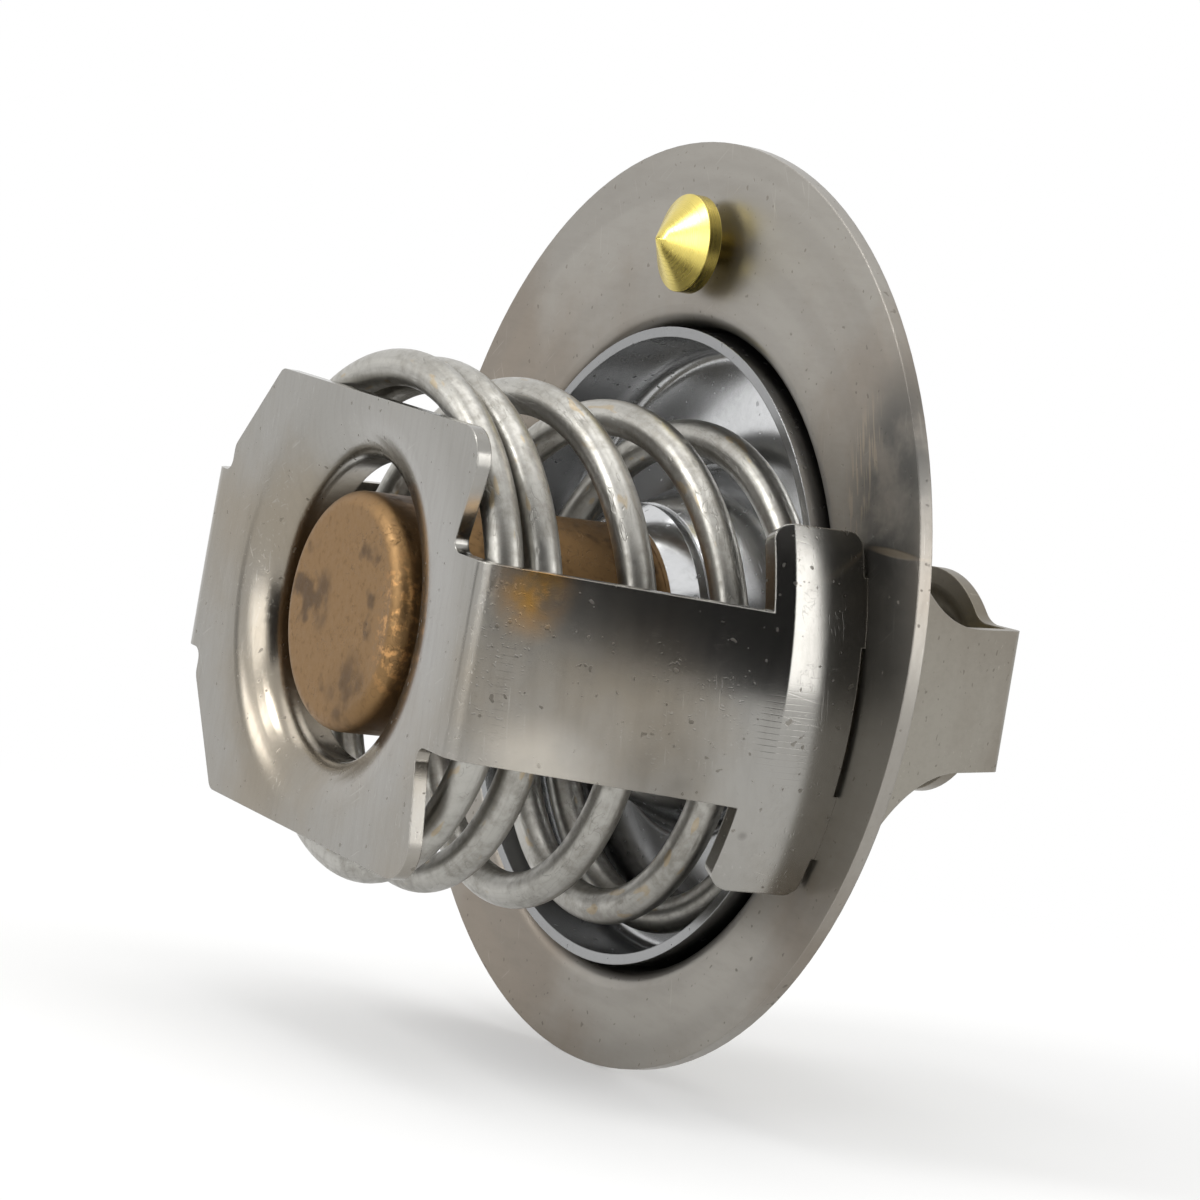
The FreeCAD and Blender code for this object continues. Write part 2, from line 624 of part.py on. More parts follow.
def make_lower_frame():
    """Folded cage: plate with a dished and rolled-in hole, two spread legs and two T-shaped feet."""
    body = new_body("lower_frame")
    body.Placement = Placement(Vector(0, 0, 0), Rotation(Vector(1, 0, 0), size_of("cage_turn")))
    body.setExpression("Placement.Rotation.Angle", scoped("cage_turn"))
    face = "( 0 - cage_depth )"
    inside = "( cage_sheet - cage_depth )"
    plate = new_sketch(body, "plate_outline", CROSS_PLANE, face)
    notch = "( near_ear - notch_length )"
    far_side = [
        ("far_root", "leg_half_width"),
        ("far_ear", "leg_half_width"),
        ("far_ear", "far_ear_side"),
    ]
    near_side = [(f"0 - {notch}", "leg_half_width"), ("0 - near_root", "leg_half_width")]
    upper = far_side + [("far_ear_top", "plate_top"), ("0 - near_ear", "plate_top")] + near_side
    lower = far_side + [("far_ear_top", "plate_bottom"), ("0 - near_ear", "plate_bottom")] + near_side
    draw_outline(plate, upper + [(across, f"0 - {height}") for across, height in reversed(lower)])
    extrude(body, "plate", plate, "cage_sheet")
    edges = ("plate_top", "0 - plate_bottom")
    sides = ("leg_half_width", "0 - leg_half_width")
    cuts = ("far_ear_side", "0 - far_ear_side")
    near_corners = [("0 - near_ear", height) for height in edges]
    far_corners = [("far_ear_top", height) for height in edges] + [("far_ear", height) for height in cuts]
    round_edges(body, "near_ear_corners", lengthwise_at(near_corners), "plate_corner")
    round_edges(body, "far_ear_corners", lengthwise_at(far_corners), "far_corner")
    notch_corners = [(f"0 - {notch}", height) for height in sides]
    round_edges(body, "notches", lengthwise_at(notch_corners), "notch_rounding")
    round_edges(body, "reliefs", lengthwise_at([("far_ear", height) for height in sides]), "relief_rounding")
    add_leg(body, "far", "far_root", 1)
    add_leg(body, "near", "near_root", -1)

    corner_angle = "asin( foot_half_width / foot_radius )"
    foot_start = "0 - tab_height - foot_length"
    round_edges(body, "foot_start_corners", radial_at(foot_start, corner_angle), "foot_corner")
    round_edges(body, "foot_end_corners", radial_at("0 - tab_height", corner_angle), "foot_corner")
    root_bend = "leg_bend + cage_sheet"
    round_edges(body, "root_inside", crossing_at(inside, "leg_half_width", "hole_radius"), "leg_bend")
    round_edges(body, "root_outside", crossing_at(face, "leg_half_width", "hole_radius"), root_bend)

    hole = new_sketch(body, "hole_outline", CROSS_PLANE, face, "hole_shift")
    draw_circle(hole, "dish_radius")
    extrude(body, "hole", hole, "cage_sheet", "PartDesign::Pocket", reverse=True)
    slope = "( dish_depth / ( dish_radius - hole_radius ) )"
    lean = f"( cage_sheet * ( sqrt( 1 + {slope} ^ 2 ) - 1 ) )"
    inner_dish = f"( dish_radius + {lean} / {slope} )"
    inner_throat = f"( {face} + dish_depth + cage_sheet + {lean} - {slope} * cage_sheet )"
    throat = f"( {face} + dish_depth )"
    lip = f"( {face} + hole_depth )"
    revolve(body, "dish", [
        (face, "dish_radius + cage_sheet / 2"),
        (face, "dish_radius"),
        (throat, "hole_radius"),
        (lip, "hole_radius"),
        (lip, "hole_radius + cage_sheet"),
        (inner_throat, "hole_radius + cage_sheet"),
        (inside, inner_dish),
        (inside, "dish_radius + cage_sheet / 2"),
    ], across="hole_shift")
    bends = (
        ("dish_rim", face, "dish_radius", "dish_rounding"),
        ("dish_rim_inside", inside, inner_dish, "dish_rounding + cage_sheet"),
        ("roll_inside", inner_throat, "hole_radius + cage_sheet", "hole_roll"),
        ("roll_outside", throat, "hole_radius", "hole_roll + cage_sheet"),
    )
    for name, along, radius, bend in bends:
        round_edges(body, name, ring_at(along, radius, "hole_shift"), bend)
    return body


def make_outlet_bridge():
    """Folded strap with a round domed centre, two flared legs and feet on the back of the seat."""
    body = new_body("outlet_bridge")
    seat = "( seat_depth + flange_sheet )"
    foot_top = f"( {seat} + bridge_sheet )"
    inside = "( bridge_height - bridge_sheet )"
    slope = f"( ( foot_seat - shoulder ) / ( bridge_height - {foot_top} ) )"
    across = f"( bridge_sheet * sqrt( 1 + {slope} ^ 2 ) )"
    inner_shoulder = f"( shoulder + {slope} * bridge_sheet - {across} )"
    inner_foot = f"( foot_seat + {slope} * bridge_sheet - {across} )"
    half = [
        ("bridge_height", "shoulder"),
        (foot_top, "foot_seat"),
        (foot_top, "bridge_foot_radius + bridge_sheet"),
        (seat, "bridge_foot_radius + bridge_sheet"),
        (seat, inner_foot),
        (inside, inner_shoulder),
    ]
    other = [(along, f"0 - {across_y}") for along, across_y in reversed(half)]
    section = new_sketch(body, "strap_section", AXIAL_PLANE)
    draw_outline(section, half + other)
    extrude(body, "strap", section, "flare_half_width * 2", symmetric=True)
    sides = new_sketch(body, "strap_sides", SIDE_PLANE)
    flare_end = f"( {foot_top} + bridge_bend )"
    flare = f"( {flare_end} + flare_length )"
    for side in (1, -1):
        draw_outline(sides, [
            ("bridge_height + bridge_sheet", f"{side} * bridge_half_width"),
            (flare, f"{side} * bridge_half_width", flare),
            (flare_end, f"{side} * flare_half_width"),
            (flare_end, f"{side} * ( flare_half_width + bridge_sheet )"),
            ("bridge_height + bridge_sheet", f"{side} * ( flare_half_width + bridge_sheet )"),
        ])
    extrude(body, "strap_width", sides, "flange_diameter", "PartDesign::Pocket", symmetric=True)
    bend = "bridge_bend + bridge_sheet"
    round_edges(body, "shoulder_inside", upright_at(inside, inner_shoulder), "bridge_bend")
    round_edges(body, "shoulder_outside", upright_at("bridge_height", "shoulder"), bend)
    round_edges(body, "foot_bend_outside", upright_at(foot_top, "foot_seat"), "bridge_bend")
    round_edges(body, "foot_bend_inside", upright_at(seat, inner_foot), bend)
    ends = new_sketch(body, "foot_ends", CROSS_PLANE, seat)
    draw_circle(ends, "bridge_foot_radius")
    draw_circle(ends, "flange_diameter")
    extrude(body, "round_feet", ends, "bridge_sheet", "PartDesign::Pocket", reverse=True)

    disc = new_sketch(body, "disc_outline", CROSS_PLANE, inside)
    draw_circle(disc, "disc_radius")
    extrude(body, "disc", disc, "bridge_sheet")
    meeting = "sqrt( disc_radius ^ 2 - bridge_half_width ^ 2 )"
    blends = [(f"{side} * {meeting}", f"{rise} * bridge_half_width") for side in (1, -1) for rise in (1, -1)]
    round_edges(body, "disc_blends", lengthwise_at(blends), "disc_blend")
    centre = new_sketch(body, "dome_opening", CROSS_PLANE, inside)
    draw_circle(centre, "dome_base + bridge_sheet / 4")
    extrude(body, "opening", centre, "bridge_sheet", "PartDesign::Pocket", reverse=True)
    fall = "( ( dome_base - dome_top ) / dome_height )"
    wall = f"( bridge_sheet * sqrt( 1 + {fall} ^ 2 ) )"
    inner_base = f"( dome_base + {fall} * bridge_sheet - {wall} )"
    inner_top = f"( dome_top + {fall} * bridge_sheet - {wall} )"
    revolve(body, "dome", [
        (inside, inner_base),
        (f"{inside} + dome_height", inner_top),
        (f"{inside} + dome_height", "0"),
        ("bridge_height + dome_height", "0"),
        ("bridge_height + dome_height", "dome_top"),
        ("bridge_height", "dome_base"),
        ("bridge_height", "dome_base + bridge_sheet / 2"),
        (inside, "dome_base + bridge_sheet / 2"),
    ])
    rounding = "dome_rounding + bridge_sheet"
    round_edges(body, "dome_base_outside", ring_at("bridge_height", "dome_base"), "dome_rounding")
    round_edges(body, "dome_base_inside", ring_at(inside, inner_base), rounding)
    round_edges(body, "dome_top_inside", ring_at(f"{inside} + dome_height", inner_top), "dome_rounding")
    round_edges(body, "dome_top_outside", ring_at("bridge_height + dome_height", "dome_top"), rounding)
    return body


def coil_place(turn):
    """Distance along the spring, from its first wire centre, after a number of turns."""
    ramp = 0.25
    closed_pitch = size_of("wire_diameter + closed_gap")
    length = size_of("cage_depth - cage_sheet + seat_depth - valve_sheet - wire_diameter")
    first = size_of("closed_turns_start")
    last = size_of("closed_turns_end")
    total = size_of("coil_turns")
    open_turns = total - first - last - 2 * ramp
    open_pitch = (length - closed_pitch * (first + last + ramp)) / (open_turns + ramp)
    steps = [(first, closed_pitch, closed_pitch), (ramp, closed_pitch, open_pitch)]
    steps += [(open_turns, open_pitch, open_pitch), (ramp, open_pitch, closed_pitch)]
    steps += [(last, closed_pitch, closed_pitch)]
    place = 0.0
    for span, before, after in steps:
        part = min(turn, span)
        place += before * part + (after - before) * part * part / (2 * span)
        turn -= part
    return place


def make_main_spring():
    """Round-wire spring with closed ends, whose centre drops towards the valve."""
    spring = doc.addObject("Part::Feature", "main_spring")
    spring.Label = "main_spring"
    wire_radius = size_of("wire_diameter / 2")
    coil_radius = size_of("( coil_diameter - wire_diameter ) / 2")
    turns = size_of("coil_turns")
    start = size_of("cage_sheet - cage_depth") + wire_radius
    length = coil_place(turns)
    count = math.ceil(turns * 16)
    points = []
    for index in range(count + 1):
        turn = turns * index / count
        angle = math.radians(size_of("coil_start")) + 2 * math.pi * turn
        along = coil_place(turn)
        drop = size_of("coil_lean") * along / length
        across = coil_radius * math.cos(angle)
        points.append(Vector(start + along, across, coil_radius * math.sin(angle) - drop))
    curve = Part.BSplineCurve()
    curve.interpolate(points)
    path = Part.Wire([curve.toShape()])
    heading = curve.tangent(curve.FirstParameter)[0]
    section = Part.Wire([Part.Circle(points[0], heading, wire_radius).toShape()])
    spring.Shape = path.makePipeShell([section], True, True)
    spring.Placement = Placement(Vector(0, 0, -size_of("axis_drop")), Rotation())
    pieces.append(spring)
    expected = math.pi * wire_radius ** 2 * path.Length
    if abs(spring.Shape.Volume / expected - 1) > 0.01:
        raise ValueError(f"spring volume {spring.Shape.Volume:.1f} differs from {expected:.1f}")
    return spring


for make in (
    make_mounting_flange,
    make_lower_frame,
    make_main_spring,
    make_wax_capsule,
    make_valve_cup,
    make_retaining_collar,
    make_jiggle_pin,
    make_outlet_bridge,
    make_wax_charge,
    make_rubber_sleeve,
    make_backup_washer,
    make_piston_guide,
    make_piston,
):
    make()

doc.recompute()
for item in doc.Objects:
    if "Invalid" in item.State or "Error" in item.State:
        raise ValueError(f"{item.Name} failed: {item.State}")
for piece in pieces:
    if piece.Shape.isNull() or not piece.Shape.isValid():
        raise ValueError(f"{piece.Label} has no valid shape")
    print(piece.Label, len(piece.Shape.Solids), round(piece.Shape.Volume, 1))
for piece in pieces:
    piece.Shape.exportStep(f"parts/{piece.Label}.step")
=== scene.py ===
import math
from collections import namedtuple

import bmesh
import bpy
from bpy.props import FloatProperty, FloatVectorProperty, IntProperty, PointerProperty
from mathutils import Matrix, Vector


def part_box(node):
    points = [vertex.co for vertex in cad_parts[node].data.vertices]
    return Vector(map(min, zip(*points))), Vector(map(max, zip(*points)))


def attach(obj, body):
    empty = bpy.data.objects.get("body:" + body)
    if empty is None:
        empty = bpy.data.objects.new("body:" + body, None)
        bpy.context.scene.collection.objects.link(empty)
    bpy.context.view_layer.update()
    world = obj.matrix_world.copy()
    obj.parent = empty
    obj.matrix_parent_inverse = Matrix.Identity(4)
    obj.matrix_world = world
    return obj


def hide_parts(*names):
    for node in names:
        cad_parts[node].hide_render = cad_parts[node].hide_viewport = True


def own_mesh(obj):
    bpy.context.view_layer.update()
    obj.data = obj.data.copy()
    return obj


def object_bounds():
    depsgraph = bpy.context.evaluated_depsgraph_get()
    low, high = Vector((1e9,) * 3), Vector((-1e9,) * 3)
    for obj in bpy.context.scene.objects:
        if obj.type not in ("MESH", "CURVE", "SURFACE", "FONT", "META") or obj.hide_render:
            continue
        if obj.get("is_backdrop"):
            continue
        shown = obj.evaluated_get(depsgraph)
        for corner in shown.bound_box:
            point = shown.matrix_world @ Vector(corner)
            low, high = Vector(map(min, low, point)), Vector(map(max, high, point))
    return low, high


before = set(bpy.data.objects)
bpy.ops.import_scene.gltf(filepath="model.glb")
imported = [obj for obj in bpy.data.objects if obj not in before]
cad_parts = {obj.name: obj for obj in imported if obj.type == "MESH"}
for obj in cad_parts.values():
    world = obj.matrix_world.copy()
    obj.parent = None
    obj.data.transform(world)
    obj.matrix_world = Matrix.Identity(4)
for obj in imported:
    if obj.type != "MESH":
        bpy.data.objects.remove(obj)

bl_info = {
    "name": "Engine thermostat",
    "version": (1, 0, 0),
    "blender": (4, 5, 0),
    "location": "View3D > Sidebar > Thermostat",
    "description": "Dresses the pieces of a wax thermostat and sets up the studio around them",
    "category": "Object",
}

MM = 0.001


def length(name, description, millimetres):
    """Length property whose default is given in millimetres."""
    return FloatProperty(name=name, description=description, default=millimetres * MM, min=0.0, unit="LENGTH",
                         precision=5)


def shift(name, description, millimetres):
    """Distance property that may be negative, with its default in millimetres."""
    return FloatProperty(name=name, description=description, default=millimetres * MM, unit="LENGTH",
                         precision=5)


def angle(name, description, degrees):
    """Angle property whose default is given in degrees."""
    return FloatProperty(name=name, description=description, default=math.radians(degrees), subtype="ANGLE")


def brightness(name, description, default):
    """Brightness property, where 1 is as bright as a white wall."""
    return FloatProperty(name=name, description=description, default=default, min=0.0)


def colour(name, description, red, green, blue):
    """Colour property from a display colour with values of 0 to 255."""
    linear = [((value / 255 + 0.055) / 1.055) ** 2.4 for value in (red, green, blue)]
    return FloatVectorProperty(name=name, description=description, default=linear, size=3, min=0.0, max=1.0,
                               subtype="COLOR")


class SpringSizes(bpy.types.PropertyGroup):
    """Sizes of the main spring."""

    wire: length("Wire", "Diameter of the spring wire", 2.1)
    turns: FloatProperty(name="Turns", description="Number of turns, end to end", default=4.9, min=1.0)
    closed_start: FloatProperty(name="Closed turns at the plate", description="Turns that touch", default=1.1)
    closed_end: FloatProperty(name="Closed turns in the cup", description="Turns that touch", default=0.8)
    ramp: FloatProperty(name="Ramp", description="Turns from the closed to the open pitch", default=0.25)
    gap: length("Gap", "Gap between closed turns", 0.03)
    lean: length("Lean", "Drop of the spring's centre at the valve end", 1.7)
    start_angle: angle("Start angle", "Where the wire starts, from Y towards Z", 53)
    steps: IntProperty(name="Steps", description="Rings of the mesh in one turn", default=112, min=12)
    sides: IntProperty(name="Sides", description="Points round the wire", default=28, min=8)


class MetalColours(bpy.types.PropertyGroup):
    """Colours of the finishes, and of painted light and shade laid over them."""

    flange: colour("Flange", "Satin steel of the mounting flange", 156, 152, 145)
    flange_stain: colour("Flange stain", "Warm stain on the flange", 138, 129, 118)
    # Painted shade: darkens a patch of the flange's face beside the near foot, in place of a dark reflection
    flange_painted_shade: colour("Flange patch", "Dull dark patch on the flange", 84, 84, 82)
    flange_rub: colour("Flange rub", "Rub marks on the flange", 196, 178, 152)
    cage: colour("Frame", "Brushed steel of the lower frame", 155, 153, 148)
    cage_stain: colour("Frame stain", "Warm stain on the lower frame", 147, 139, 126)
    # Painted reflection: lightens the near leg low at the plate's end
    cage_painted_sheen: colour("Frame rub", "Bright rubbed steel low on the near leg", 212, 205, 192)
    # Painted shade: darkens the near leg low at the feet's end
    cage_painted_shade: colour("Frame smudge", "Dull smudge low on the near leg", 88, 84, 78)
    heat_tint: colour("Heat tint", "Golden tint where the leg was bent", 232, 172, 66)
    cup: colour("Cup", "Drawn steel of the valve cup", 220, 221, 222)
    wire: colour("Wire", "Drawn steel wire", 176, 174, 168)
    wire_dark: colour("Wire shade", "Dull zones of the wire", 148, 145, 138)
    wire_speck: colour("Wire speck", "Golden specks of the wire", 178, 152, 104)
    bridge: colour("Bridge", "Satin steel of the bridge", 136, 131, 120)
    bridge_stain: colour("Bridge stain", "Warm stain on the bridge", 120, 113, 101)
    copper: colour("Copper", "Dull copper of the capsule", 134, 106, 72)
    copper_dark: colour("Copper stain", "Dark stains on the capsule", 94, 74, 52)
    copper_bright: colour("Bright copper", "Worn edge of the capsule", 196, 150, 98)
    brass: colour("Brass", "Turned brass of the jiggle pin", 225, 206, 114)
    polished: colour("Polished steel", "Retaining collar and piston", 205, 206, 207)
    wax: colour("Wax", "Wax with metal powder", 168, 120, 84)
    rubber: colour("Rubber", "Black rubber", 32, 32, 33)
    plastic: colour("Plastic", "White washer", 226, 226, 220)


class StudioSizes(bpy.types.PropertyGroup):
    """Camera and lights."""

    distance: length("Camera distance", "From the flange's centre to the camera", 260.0)
    azimuth: angle("Azimuth", "Turn of the camera about Z", -30.95)
    elevation: angle("Elevation", "Height of the camera above the horizon", 3.86)
    roll: angle("Roll", "Turn of the picture", 9.32)
    aside: shift("Aside", "Shift of the camera to its left", 2.87)
    upwards: shift("Upwards", "Shift of the camera upwards", 0.17)
    lens: FloatProperty(name="Lens", default=134.16, description="Focal length in millimetres")
    sky: brightness("Sky", "Brightness of the surroundings on dull surfaces", 0.62)
    key: brightness("Key light", "Light at the camera's right", 2.5)
    left: brightness("Left light", "Light at the left", 2.4)
    top: brightness("Top light", "Light overhead", 1.5)
    upper_left: brightness("Upper left light", "Small light above the left", 11.0)
    far_left: brightness("Far left light", "Small light that the dish of the plate reflects", 4.5)
    floor: colour("Floor", "Plain pale floor", 247, 247, 246)


# Fine straight scratches along Z, turned about an axis by an angle in degrees, with the scale of their noise
# across and along them, in patches a metre
Strokes = namedtuple("Strokes", "axis angle across along", defaults=(6400.0, 200.0))

# Patch of colour, used for wear and for painted light and shade: place from a point of the piece and reach
# along X, Y and Z, both in millimetres, the part of the reach that is covered in full, and the share of the
# new colour
WearAndLightPatch = namedtuple("WearAndLightPatch", "place reach core share", defaults=(1.0,))


def shaded(shade, factor):
    """Darker or brighter version of a colour."""
    return [min(1.0, value * factor) for value in shade]


def centre(node):
    """Middle of a piece's box as a list of X, Y and Z."""
    return [(low + high) / 2 for low, high in zip(*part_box(node))]


class Paint:
    """Node tree of one material, with short ways to add and join nodes."""

    def __init__(self, name):
        self.material = bpy.data.materials.new(name)
        self.material.use_nodes = True
        self.nodes = self.material.node_tree.nodes
        self.links = self.material.node_tree.links
        self.shader = self.nodes["Principled BSDF"]
        self.place = self.nodes.new("ShaderNodeTexCoord").outputs["Object"]
        self.base = None
        self.relief = []

    def node(self, kind, settings=(), **inputs):
        """New node; an input is named, or numbered as in _0, and takes a value or another node's output."""
        made = self.nodes.new(f"ShaderNode{kind}")
        for key, value in dict(settings).items():
            setattr(made, key, value)
        for key, value in inputs.items():
            socket = made.inputs[int(key[1:])] if key[1:].isdigit() else made.inputs[key.replace("_", " ")]
            if isinstance(value, bpy.types.NodeSocket):
                self.links.new(value, socket)
            else:
                socket.default_value = value
        return made

    def compute(self, operation, *values):
        """Result of a Math node."""
        inputs = {f"_{index}": value for index, value in enumerate(values)}
        return self.node("Math", {"operation": operation}, **inputs).outputs[0]

    def sum(self, first, *others):
        """Sum of several values."""
        for value in others:
            first = self.compute("ADD", first, value)
        return first

    def product(self, first, *others):
        """Product of several values."""
        for value in others:
            first = self.compute("MULTIPLY", first, value)
        return first

    def span(self, value, low, high, start=0.0, end=1.0):
        """Value moved from low..high to start..end, and kept there; low may be the larger one."""
        if low > high:
            low, high, start, end = high, low, end, start
        made = self.node("MapRange", {"interpolation_type": "SMOOTHSTEP"}, Value=value, From_Min=low,
                         From_Max=high, To_Min=start, To_Max=end)
        return made.outputs["Result"]

    def noise(self, scale, detail, rough, place=None, distortion=0.0):
        """Cloudy value from 0 to 1, with scale in patches a metre."""
        made = self.node("TexNoise", Vector=place or self.place, Scale=scale, Detail=detail, Roughness=rough,
                         Distortion=distortion)
        return made.outputs["Fac"]

    def mix(self, share, first, second):
        """Colour between two colours."""
        made = self.node("Mix", {"data_type": "RGBA"}, _0=share)
        for socket, value in ((made.inputs[6], first), (made.inputs[7], second)):
            if isinstance(value, bpy.types.NodeSocket):
                self.links.new(value, socket)
            else:
                socket.default_value = (*value, 1.0)
        return made.outputs[2]

    def stretched(self, stretch, place=None):
        """Object place, stretched so that a pattern runs along one direction."""
        return self.node("Mapping", Vector=place or self.place, Scale=stretch).outputs["Vector"]

    def ring_place(self, y, z, drift=1.0):
        """Place made of the distance from an axis along X, the place along it and some drift round it."""
        moved = self.node("Mapping", Vector=self.place, Location=(0.0, -y, -z)).outputs["Vector"]
        parts = self.node("SeparateXYZ", Vector=moved).outputs
        squares = self.sum(*[self.product(parts[name], parts[name]) for name in ("Y", "Z")])
        radius = self.compute("SQRT", squares)
        place = self.node("CombineXYZ", X=radius, Y=parts["X"], Z=self.product(parts["Y"], drift))
        return place.outputs["Vector"]

    def strokes(self, mark, amount=(0.70, 0.76)):
        """Fine straight scratches; a lower amount gives more of them."""
        turned = self.node("VectorRotate", {"rotation_type": f"{mark.axis}_AXIS"}, Vector=self.place,
                           Angle=math.radians(mark.angle)).outputs["Vector"]
        drawn_out = self.stretched((1.0, 1.0, mark.along / mark.across), turned)
        return self.span(self.noise(mark.across, 1.0, 0.4, drawn_out), *amount)

    def comb(self, axis, pitch, waver):
        """Evenly spaced fine lines at right angles to an axis, faint in places."""
        along = self.node("SeparateXYZ", Vector=self.place).outputs[axis]
        shaken = self.sum(along, self.product(self.noise(700.0, 1.0, 0.5), waver))
        wave = self.compute("SINE", self.product(shaken, 2 * math.pi / pitch))
        kept = self.span(self.noise(260.0, 1.0, 0.5), 0.40, 0.60, 0.15, 1.0)
        return self.product(self.span(wave, 0.82, 0.99), kept)

    def curls(self, scale, width, cover, place=None):
        """Short curly marks, gathered in patches; a lower cover gives more of them."""
        field = self.noise(scale, 1.0, 0.4, place, distortion=1.6)
        away = self.compute("ABSOLUTE", self.compute("SUBTRACT", field, 0.5))
        patch = self.span(self.noise(scale * 0.45, 1.0, 0.4, place), cover, cover + 0.05)
        return self.product(self.span(away, width, 0.0), patch)

    def patch(self, wear_and_light, origin):
        """1 in the core of a patch, falling to 0 at its reach; patches hold wear and also painted light and
        shade.
        """
        middle = [start + step * MM for start, step in zip(origin, wear_and_light.place)]
        reach = [step * MM for step in wear_and_light.reach]
        moved = self.node("VectorMath", {"operation": "SUBTRACT"}, _0=self.place, _1=middle).outputs[0]
        shrunk = self.node("VectorMath", {"operation": "DIVIDE"}, _0=moved, _1=reach).outputs[0]
        distance = self.node("VectorMath", {"operation": "LENGTH"}, _0=shrunk).outputs["Value"]
        return self.span(distance, 1.0, wear_and_light.core)

    def rounded(self, radius):
        """Normal with softened edges, and 1 along those edges."""
        soft = self.node("Bevel", {"samples": 4}, Radius=radius).outputs["Normal"]
        true = self.node("NewGeometry").outputs["Normal"]
        agreement = self.node("VectorMath", {"operation": "DOT_PRODUCT"}, _0=soft, _1=true).outputs["Value"]
        return soft, self.span(agreement, 0.97, 0.75)

    def tint(self, pattern, shade, share=1.0):
        """Lay another colour over the base where a pattern is, up to a share."""
        self.base = self.mix(self.product(pattern, share), self.base, shade)

    def lift(self, pattern, height):
        """Raise the surface by a pattern, or press it in, with the height in millimetres."""
        self.relief.append(self.product(pattern, height))

    def add_patch(self, wear_and_light, origin, shade, *masks):
        """Colour a patch, held back by other patterns, and return its pattern; patches hold wear and also
        painted light and shade.
        """
        worn = self.product(self.patch(wear_and_light, origin), *masks)
        self.tint(worn, shade, wear_and_light.share)
        return worn

    def finish(self, roughness, normal=None, **fixed):
        """Join the colour, roughness and relief to the shader; fixed values go on its own sockets."""
        self.links.new(self.base, self.shader.inputs["Base Color"])
        self.links.new(roughness, self.shader.inputs["Roughness"])
        bump = self.node("Bump", Height=self.sum(*self.relief), Distance=MM, Strength=1.0)
        if normal is not None:
            self.links.new(normal, bump.inputs["Normal"])
        self.links.new(bump.outputs["Normal"], self.shader.inputs["Normal"])
        for key, value in fixed.items():
            self.shader.inputs[key].default_value = value
        return self.material


class SheetSteel(Paint):
    """Sheet steel with faint rolling lines, soft stains, scratches, curls, pits and softened edges."""

    def __init__(self, name, clean, stain, brush, roughness, marks, edge=0.12 * MM):
        """Brush scales the rolling lines along X, Y and Z, and edge is the radius of the softened edges."""
        super().__init__(name)
        cloud = self.noise(55.0, 3.0, 0.5)
        grain = self.noise(1100.0, 4.0, 0.6)
        lines = self.noise(2400.0, 3.0, 0.65, self.stretched(brush))
        worn = self.span(self.noise(140.0, 2.0, 0.5), 0.50, 0.62, 0.15, 1.0)
        scratches = self.product(self.sum(*[self.strokes(mark) for mark in marks]), worn)
        curls = self.curls(1500.0, 0.010, 0.60)
        pits = self.span(self.noise(2300.0, 1.0, 0.4), 0.705, 0.765)
        wave = self.noise(38.0, 1.0, 0.4)
        self.normal, rim = self.rounded(edge)
        self.base = self.mix(self.span(self.sum(cloud, self.product(grain, 0.08)), 0.44, 0.70), clean, stain)
        dark = shaded(stain, 0.5)
        bright = shaded(clean, 1.5)
        self.tint(self.span(lines, 0.40, 0.72), dark, 0.10)
        self.tint(scratches, bright, 0.26)
        self.tint(curls, dark, 0.15)
        self.tint(pits, dark, 0.5)
        self.tint(rim, bright, 0.45)
        self.rough = self.sum(self.span(cloud, 0.3, 0.7, *roughness), self.product(lines, 0.08),
                              self.product(pits, 0.2))
        self.lift(lines, 0.0010)
        self.lift(grain, 0.0012)
        self.lift(scratches, -0.0028)
        self.lift(curls, -0.0010)
        self.lift(pits, -0.0036)
        self.lift(wave, 0.032)

    def done(self):
        """Material with everything joined to its shader."""
        return self.finish(self.rough, self.normal, Metallic=1.0)


def dress(node, material):
    """Give a piece of the frame its finish."""
    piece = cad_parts[node]
    piece.data.materials.clear()
    piece.data.materials.append(material)


def coil_place(turn, sizes, span):
    """Distance along the spring, from its first wire centre, after a number of turns."""
    closed = sizes.wire + sizes.gap
    open_turns = sizes.turns - sizes.closed_start - sizes.closed_end - 2 * sizes.ramp
    pitch = (span - closed * (sizes.closed_start + sizes.closed_end + sizes.ramp)) / (open_turns + sizes.ramp)
    steps = (
        (sizes.closed_start, closed, closed),
        (sizes.ramp, closed, pitch),
        (open_turns, pitch, pitch),
        (sizes.ramp, pitch, closed),
        (sizes.closed_end, closed, closed),
    )
    place = 0.0
    for width, before, after in steps:
        part = min(turn, width)
        place += before * part + (after - before) * part * part / (2 * width)
        turn -= part
    return place


